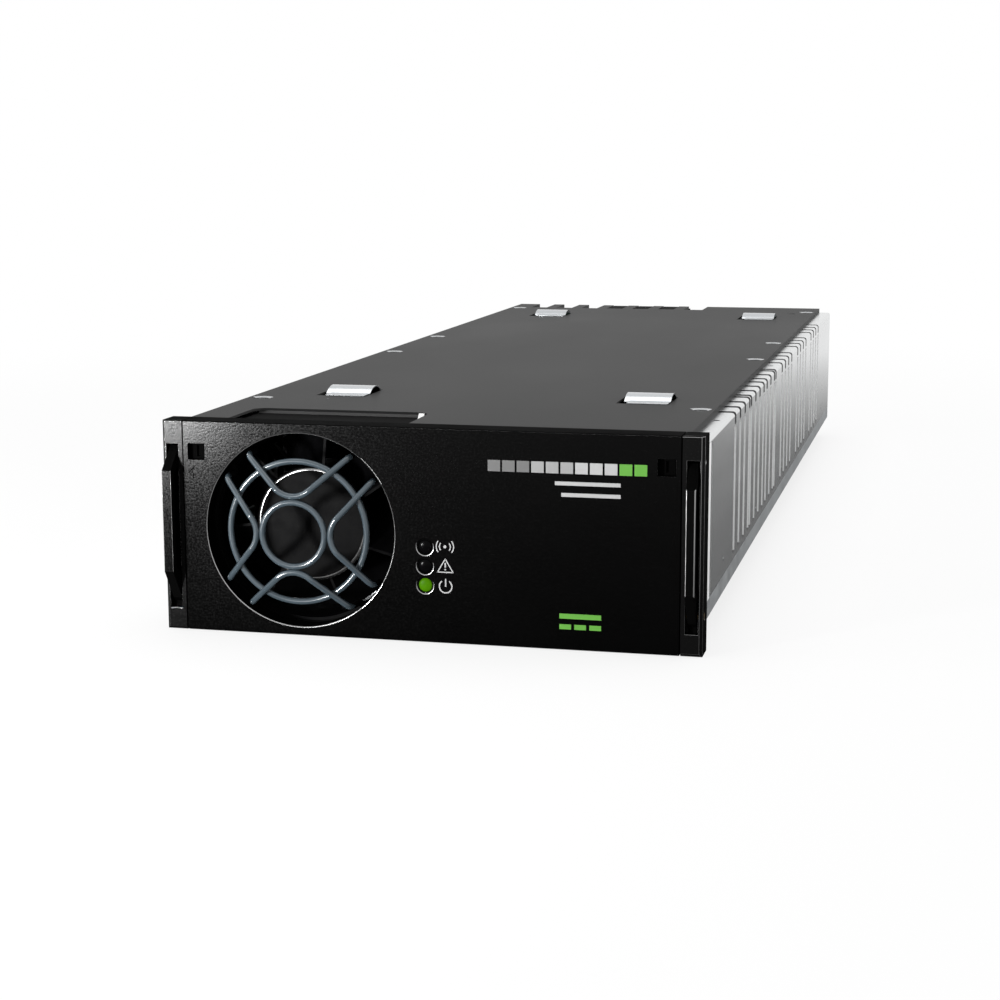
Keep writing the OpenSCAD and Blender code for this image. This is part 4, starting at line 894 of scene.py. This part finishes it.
def make_guard():
    leg = wire_middle()
    whole = [(-u, depth, v) for u, depth, v in reversed(leg[1:])] + leg
    paths = [[place(FAN_X + u * c - v * s, depth, FAN_Z + u * s + v * c)
              for u, depth, v in whole] for c, s in ((1, 0), (0, 1), (-1, 0), (0, -1))]
    bm = wire_piece("Guard_Wires", paths, WIRE_RADIUS)
    leg_end = math.hypot(*LEG_END)
    bow_end = math.hypot(leg[BOW_STEPS][0], leg[BOW_STEPS][2])
    wires_at = -GUARD_OUT + (GUARD_OUT - GUARD_RIM) * (OUTER_RING - bow_end) / (leg_end - bow_end)
    outer_depth = wires_at + 2 * WIRE_RADIUS - WELD_DEPTH
    for ring, depth in ((INNER_RING, -GUARD_OUT), (OUTER_RING, outer_depth)):
        section = [(ring + WIRE_RADIUS * math.cos(a), depth + WIRE_RADIUS * math.sin(a))
                   for a in (math.tau * i / 16 for i in range(16))]
        turned(section, FAN_X, FAN_Z, steps=72, closed=True, bm=bm)
    # The feet of the wires, behind the bezel, get the dull black: painted shade
    for face in bm.faces:
        face.material_index = int(face.calc_center_median().y > BEZEL_FACE + PAINTED_SHADE_FROM * MM)
    add_piece("Fan_Guard", bm, ["Coated_Wire", "Painted_Shade_Black"], ["fan_guard"],
              sharp=60)


make_guard()

# %% [markdown]
# ## Fan
#
# The rotor has a cup-shaped hub and seven blades. A blade is a grid that is bent round the axis
# and twisted, steeper at the hub than at the tip, then given a wall; the other six are turned
# copies.

# %% Rotor
HUB_RADIUS, TIP_RADIUS, BLADES = 23.5, 37.0, 7
FAN_DEPTH = 13.6
# A blade at its root, and what changes by its tip: pitch in degrees, half the chord in mm
ROOT_PITCH, PITCH_LOSS = 46, 14
ROOT_CHORD, CHORD_GAIN = 12.5, 2.5
ROOT_IN_HUB, BLADE_DEPTH, BLADE_REACH, CAMBER, BLADE_WALL = 0.6, 13.5, 0.95, 1.2, 1.1
# The hub is a cup with a pin: depths from the front of the fan
HUB_FACE, CUP_FLOOR, HUB_BACK, PIN_BACK = 1.6, 4.4, 24, 26
HUB_ROUNDING, HUB_WALL, PIN_RADIUS = 1.6, 3, 1.5


def make_blade(bm):
    """Bends a flat grid, the first thing in bm, into a blade with a wall."""
    bmesh.ops.create_grid(bm, x_segments=8, y_segments=8, size=1)
    root = HUB_RADIUS - ROOT_IN_HUB
    for vert in bm.verts:
        out, along = (vert.co.x + 1) / 2, vert.co.y
        radius = root + (TIP_RADIUS - root) * out
        pitch = math.radians(ROOT_PITCH - PITCH_LOSS * out)
        half_chord = ROOT_CHORD + CHORD_GAIN * out
        turn = along * half_chord * math.cos(pitch) / radius
        rise = along * half_chord * math.sin(pitch) * BLADE_REACH + CAMBER * (1 - along * along)
        vert.co = place(FAN_X + radius * math.cos(turn), FAN_DEPTH + BLADE_DEPTH + rise,
                        FAN_Z + radius * math.sin(turn))
    bmesh.ops.solidify(bm, geom=bm.faces[:], thickness=BLADE_WALL * MM)


def make_rotor():
    bm = bmesh.new()
    make_blade(bm)
    blade = bm.verts[:] + bm.edges[:] + bm.faces[:]
    bmesh.ops.spin(bm, geom=blade, cent=place(FAN_X, 0, FAN_Z), axis=(0, 1, 0), use_duplicate=True,
                   angle=math.tau * (BLADES - 1) / BLADES, steps=BLADES - 1)
    rim = [(HUB_RADIUS - HUB_ROUNDING * (1 - math.sin(a)),
            HUB_FACE + HUB_ROUNDING * (1 - math.cos(a)))
           for a in (math.pi / 2 * i / 6 for i in range(7))]
    hub = [(0, HUB_FACE), *rim, (HUB_RADIUS, HUB_BACK), (HUB_RADIUS - HUB_WALL, HUB_BACK),
           (HUB_RADIUS - HUB_WALL, CUP_FLOOR), (PIN_RADIUS, CUP_FLOOR), (PIN_RADIUS, PIN_BACK),
           (0, PIN_BACK)]
    turned([(radius, FAN_DEPTH + depth) for radius, depth in hub], FAN_X, FAN_Z, steps=64, bm=bm)
    for face in bm.faces:
        # The rounded rim of the hub is smooth and shines
        centre = face.calc_center_median()
        from_rim = off_axis(centre, FAN_CENTRE) - HUB_RADIUS
        in_front = centre.y < place(0, FAN_DEPTH + HUB_FACE + HUB_ROUNDING, 0).y
        face.material_index = 1 if in_front and -HUB_ROUNDING - NEAR < from_rim < NEAR else 0
    add_piece("Fan_Rotor", bm, ["Fan_PBT", "Polished_Black_ABS"], ["fan_rotor"],
              body="fan_rotor")


make_rotor()
add_piece("Fan_Frame", rounded_copy("fan_frame", 0.3), ["Fan_PBT"], ["fan_frame"])

# %% [markdown]
# ## Springs, screws and the rear plug
#
# The earth contact springs, the countersunk cover screws and the deep plug at the rear keep
# the solids' shapes, with the edge radius that stamping, heading or moulding leaves.

# %% Springs, screws, plug
add_piece("Contact_Springs", rounded_copy("contact_springs", 0.06, segments=1), ["Spring_Strip"],
          ["contact_springs"])
add_piece("Cover_Screws", rounded_copy("cover_screws", 0.08, segments=1), ["Zinc_Plated_Steel"],
          ["cover_screws"])
add_piece("Rear_Plug", rounded_copy("rear_connector", 0.3), ["Connector_Nylon"],
          ["rear_connector"])

# %% [markdown]
# ## Coil springs of the catches
#
# A coil spring sits under each catch. It keeps the shape of the solid, and its piece gets a
# mesh of its own.

# %% Coil springs
def make_coil_spring(side):
    node = f"{side}_catch_spring"
    piece = add_piece(node.title(), welded_copy(node), ["Spring_Strip"], [node])
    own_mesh(piece)


make_coil_spring("left")
make_coil_spring("right")

# %% [markdown]
# ## Sheet over the fan, ribs of the plug, shade ring
#
# The solids leave out three small things. A black sheet lies on the fan under the cut-out in
# the cover. Behind it stand a grey strip, whose light grey is painted light on the recess's rear
# wall, and a bright clip, a painted highlight in its corner. Three ribs of the plug fill the last
# notches of the cover's rear edge. A flat black ring over the edge of the front frame round the
# fan is painted shade.

# %% Sheet over the fan, ribs of the plug, shade ring
LEFT, RIGHT = FAN_X - 33.4, FAN_X + 41.4
# The clip is a painted highlight in the corner of the recess
HIGHLIGHT_CLIP_FRONT, HIGHLIGHT_CLIP_TOP, HIGHLIGHT_CLIP_EDGE = 43.2, 84.8, 45.2
# Low and high corners (x, depth, z) in mm
FAN_SHEET = {
    "Black_Polyester_Sheet": ((LEFT, 12.2, 82.69), (RIGHT, 47.6, 82.8)),
    "Painted_Light_Grey_Strip": ((LEFT, 46.9, 82.8), (RIGHT, 47.6, 83.97)),
    "Bright_Zinc_Painted_Highlight": ((RIGHT - 4.7, HIGHLIGHT_CLIP_FRONT, 82.8), (RIGHT - 2.3, 45.6, HIGHLIGHT_CLIP_TOP))}
RIBS, RIB_WIDTH, RIB_DEPTHS, RIB_HEIGHTS = (-36.8, -19.6, -2.4), 9.6, (593.6, 618.2), (83.4, 84.8)
SHADE_RING_IN, SHADE_RING_OUT, SHADE_RING_FRONT, SHADE_RING_BACK = 39.2, 41.5, 11.72, 12.36


def block(bm, low, high):
    """A box between two points (x, depth, z) in mm."""
    low, high = place(*low), place(*high)
    matrix = Matrix.Translation((low + high) / 2) @ Matrix.Diagonal((*(high - low), 1))
    bmesh.ops.create_cube(bm, size=1, matrix=matrix)
    bm.faces.ensure_lookup_table()


def make_fan_sheet():
    bm = bmesh.new()
    for index, corners in enumerate(FAN_SHEET.values()):
        block(bm, *corners)
        for face in bm.faces[-6:]:
            face.material_index = index
    for vert in bm.verts:
        # The clip's front slopes back
        if (vert.co.y < place(0, HIGHLIGHT_CLIP_FRONT + NEAR, 0).y
                and vert.co.z > place(0, 0, HIGHLIGHT_CLIP_TOP - NEAR).z):
            vert.co.y = place(0, HIGHLIGHT_CLIP_EDGE, 0).y
    add_piece("Fan_Sheet", bm, list(FAN_SHEET))


def make_plug_ribs():
    bm = bmesh.new()
    for left in RIBS:
        block(bm, (left, RIB_DEPTHS[0], RIB_HEIGHTS[0]),
              (left + RIB_WIDTH, RIB_DEPTHS[1], RIB_HEIGHTS[1]))
    round_edges(bm, bm.edges[:], 0.2)
    add_piece("Plug_Ribs", bm, ["Connector_Nylon"])


def make_shade_ring():
    # A dull black ring over the edge of the front frame round the fan: painted shade
    section = [(SHADE_RING_IN, SHADE_RING_FRONT), (SHADE_RING_OUT, SHADE_RING_FRONT),
               (SHADE_RING_OUT, SHADE_RING_BACK), (SHADE_RING_IN, SHADE_RING_BACK)]
    bm = turned(section, FAN_X, FAN_Z, steps=72, closed=True)
    add_piece("Fan_Shade_Ring", bm, ["Painted_Shade_Black"])


make_fan_sheet()
make_plug_ribs()
make_shade_ring()

# %% [markdown]
# ## Prints on the bezel
#
# The marks are screen-printed ink. Strokes are flat shapes in the plane of the bezel: a bar is
# a one-cell grid, scaled and turned, and an arc is a short edge that is spun. They are then
# made 0.03 mm thick, as closed solids.

# %% Strokes of ink
INK = 0.03


def bar(bm, start, end, width):
    """A straight stroke between two points (x, z) on the bezel's face."""
    middle = [(a + b) / 2 for a, b in zip(start, end)]
    length = math.dist(start, end)
    angle = math.atan2(end[1] - start[1], end[0] - start[0])
    matrix = (Matrix.Translation(place(middle[0], 0, middle[1]))
              @ Matrix.Rotation(-angle, 4, "Y") @ Matrix.Rotation(math.pi / 2, 4, "X")
              @ Matrix.Diagonal((length * MM, width * MM, 1, 1)))
    bmesh.ops.create_grid(bm, x_segments=1, y_segments=1, size=0.5, matrix=matrix)


def arc(bm, centre, radius, width, start, turn):
    """A curved stroke: angles in degrees, anticlockwise from the right as seen from the front."""
    a = math.radians(start)
    ends = [bm.verts.new(place(centre[0] + r * math.cos(a), 0, centre[1] + r * math.sin(a)))
            for r in (radius - width / 2, radius + width / 2)]
    edge = bm.edges.new(ends)
    bmesh.ops.spin(bm, geom=ends + [edge], cent=place(centre[0], 0, centre[1]), axis=(0, -1, 0),
                   angle=math.radians(turn), steps=20)


def dot(bm, centre, radius):
    matrix = (Matrix.Translation(place(centre[0], 0, centre[1]))
              @ Matrix.Rotation(math.pi / 2, 4, "X"))
    bmesh.ops.create_circle(bm, cap_ends=True, segments=20, radius=radius * MM, matrix=matrix)


def add_print(name, ink, bm):
    bmesh.ops.recalc_face_normals(bm, faces=bm.faces)
    for face in bm.faces:
        if face.normal.y > 0:
            face.normal_flip()
    body = bmesh.ops.extrude_face_region(bm, geom=bm.faces[:])["geom"]
    bmesh.ops.translate(bm, verts=[v for v in body if isinstance(v, bmesh.types.BMVert)],
                        vec=(0, -INK * MM, 0))
    bmesh.ops.recalc_face_normals(bm, faces=bm.faces)
    add_piece(name, bm, [ink])


def print_bars(name, ink, bars):
    """Prints straight strokes, each given as start, end and width."""
    bm = bmesh.new()
    for start, end, width in bars:
        bar(bm, start, end, width)
    add_print(name, ink, bm)


print("ink thickness:", INK, "mm")

# %% [markdown]
# Beside the lamps stand three generic pictograms: waves for a link, a triangle with an
# exclamation mark for an alarm, and the power sign.

# %% Pictograms beside the lamps
THIN_LINE = 0.42
LINK_DOT, POWER_SIGN = (7.75, 38.85), (7.95, 23.0)
TRIANGLE = [(4.7, 28.7), (11.0, 28.7), (7.85, 34.0)]


def make_pictograms():
    bm = bmesh.new()
    dot(bm, LINK_DOT, 0.62)
    for radius in (2.2, 3.5):
        for start in (-40, 140):
            arc(bm, LINK_DOT, radius, THIN_LINE, start, 80)
    for start, end in zip(TRIANGLE, TRIANGLE[1:] + TRIANGLE[:1]):
        bar(bm, start, end, THIN_LINE)
    for corner in TRIANGLE:
        dot(bm, corner, THIN_LINE / 2)
    # The exclamation mark
    bar(bm, (7.85, 30.6), (7.85, 32.4), 0.6)
    dot(bm, (7.85, 29.75), 0.34)
    arc(bm, POWER_SIGN, 2.55, 0.5, 125, 290)
    bar(bm, (7.95, 22.9), (7.95, 26.1), 0.5)
    add_print("Lamp_Pictograms", "Light_Grey_Ink", bm)


make_pictograms()

# %% [markdown]
# The upper right corner holds a plain capacity scale, blocks from dark grey to light grey and
# green, with two plain rules below. The lower right corner holds the sign for direct current,
# and a black release mark lies by the left handle.

# %% Scale, rules and direct current sign
# In mm: the blocks, then the other prints stroke by stroke
FIRST_BLOCK, BLOCK_PITCH, BLOCK_WIDTH, BLOCK_HEIGHT = (27.5, 71.6), 5.72, 4.9, 4.4
RULES = [((51.5, 65.6), (77.0, 65.6), 1.5), ((54.0, 61.2), (77.0, 61.2), 1.5)]
DIRECT_CURRENT = [((53.4, 13.6), (69.8, 13.6), 2.0)] + [
    ((left, 9.4), (left + 4.6, 9.4), 2.0) for left in (53.4, 59.3, 65.2)]
RELEASE_MARK = [((-98.0, 64.4), (-95.4, 67.0), 0.45), ((-96.1, 62.1), (-96.1, 64.5), 0.4)]


def print_blocks(name, ink, first, count):
    middles = [FIRST_BLOCK[0] + (first + k) * BLOCK_PITCH for k in range(count)]
    print_bars(name, ink, [((x - BLOCK_WIDTH / 2, FIRST_BLOCK[1]),
                            (x + BLOCK_WIDTH / 2, FIRST_BLOCK[1]), BLOCK_HEIGHT) for x in middles])


print_blocks("Scale_Dark_Blocks", "Dark_Grey_Ink", 0, 3)
print_blocks("Scale_Mid_Blocks", "Mid_Grey_Ink", 3, 3)
print_blocks("Scale_Light_Blocks", "Light_Grey_Ink", 6, 3)
print_blocks("Scale_Green_Blocks", "Green_Ink", 9, 2)
print_bars("Plain_Rules", "Light_Grey_Ink", RULES)
print_bars("Direct_Current_Sign", "Green_Ink", DIRECT_CURRENT)
print_bars("Release_Mark", "Black_Ink", RELEASE_MARK)

# %% [markdown]
# ## View transform
#
# The view transform stays plain, so that a colour renders as written.

# %% Finish
bpy.context.scene.view_settings.view_transform = "Standard"
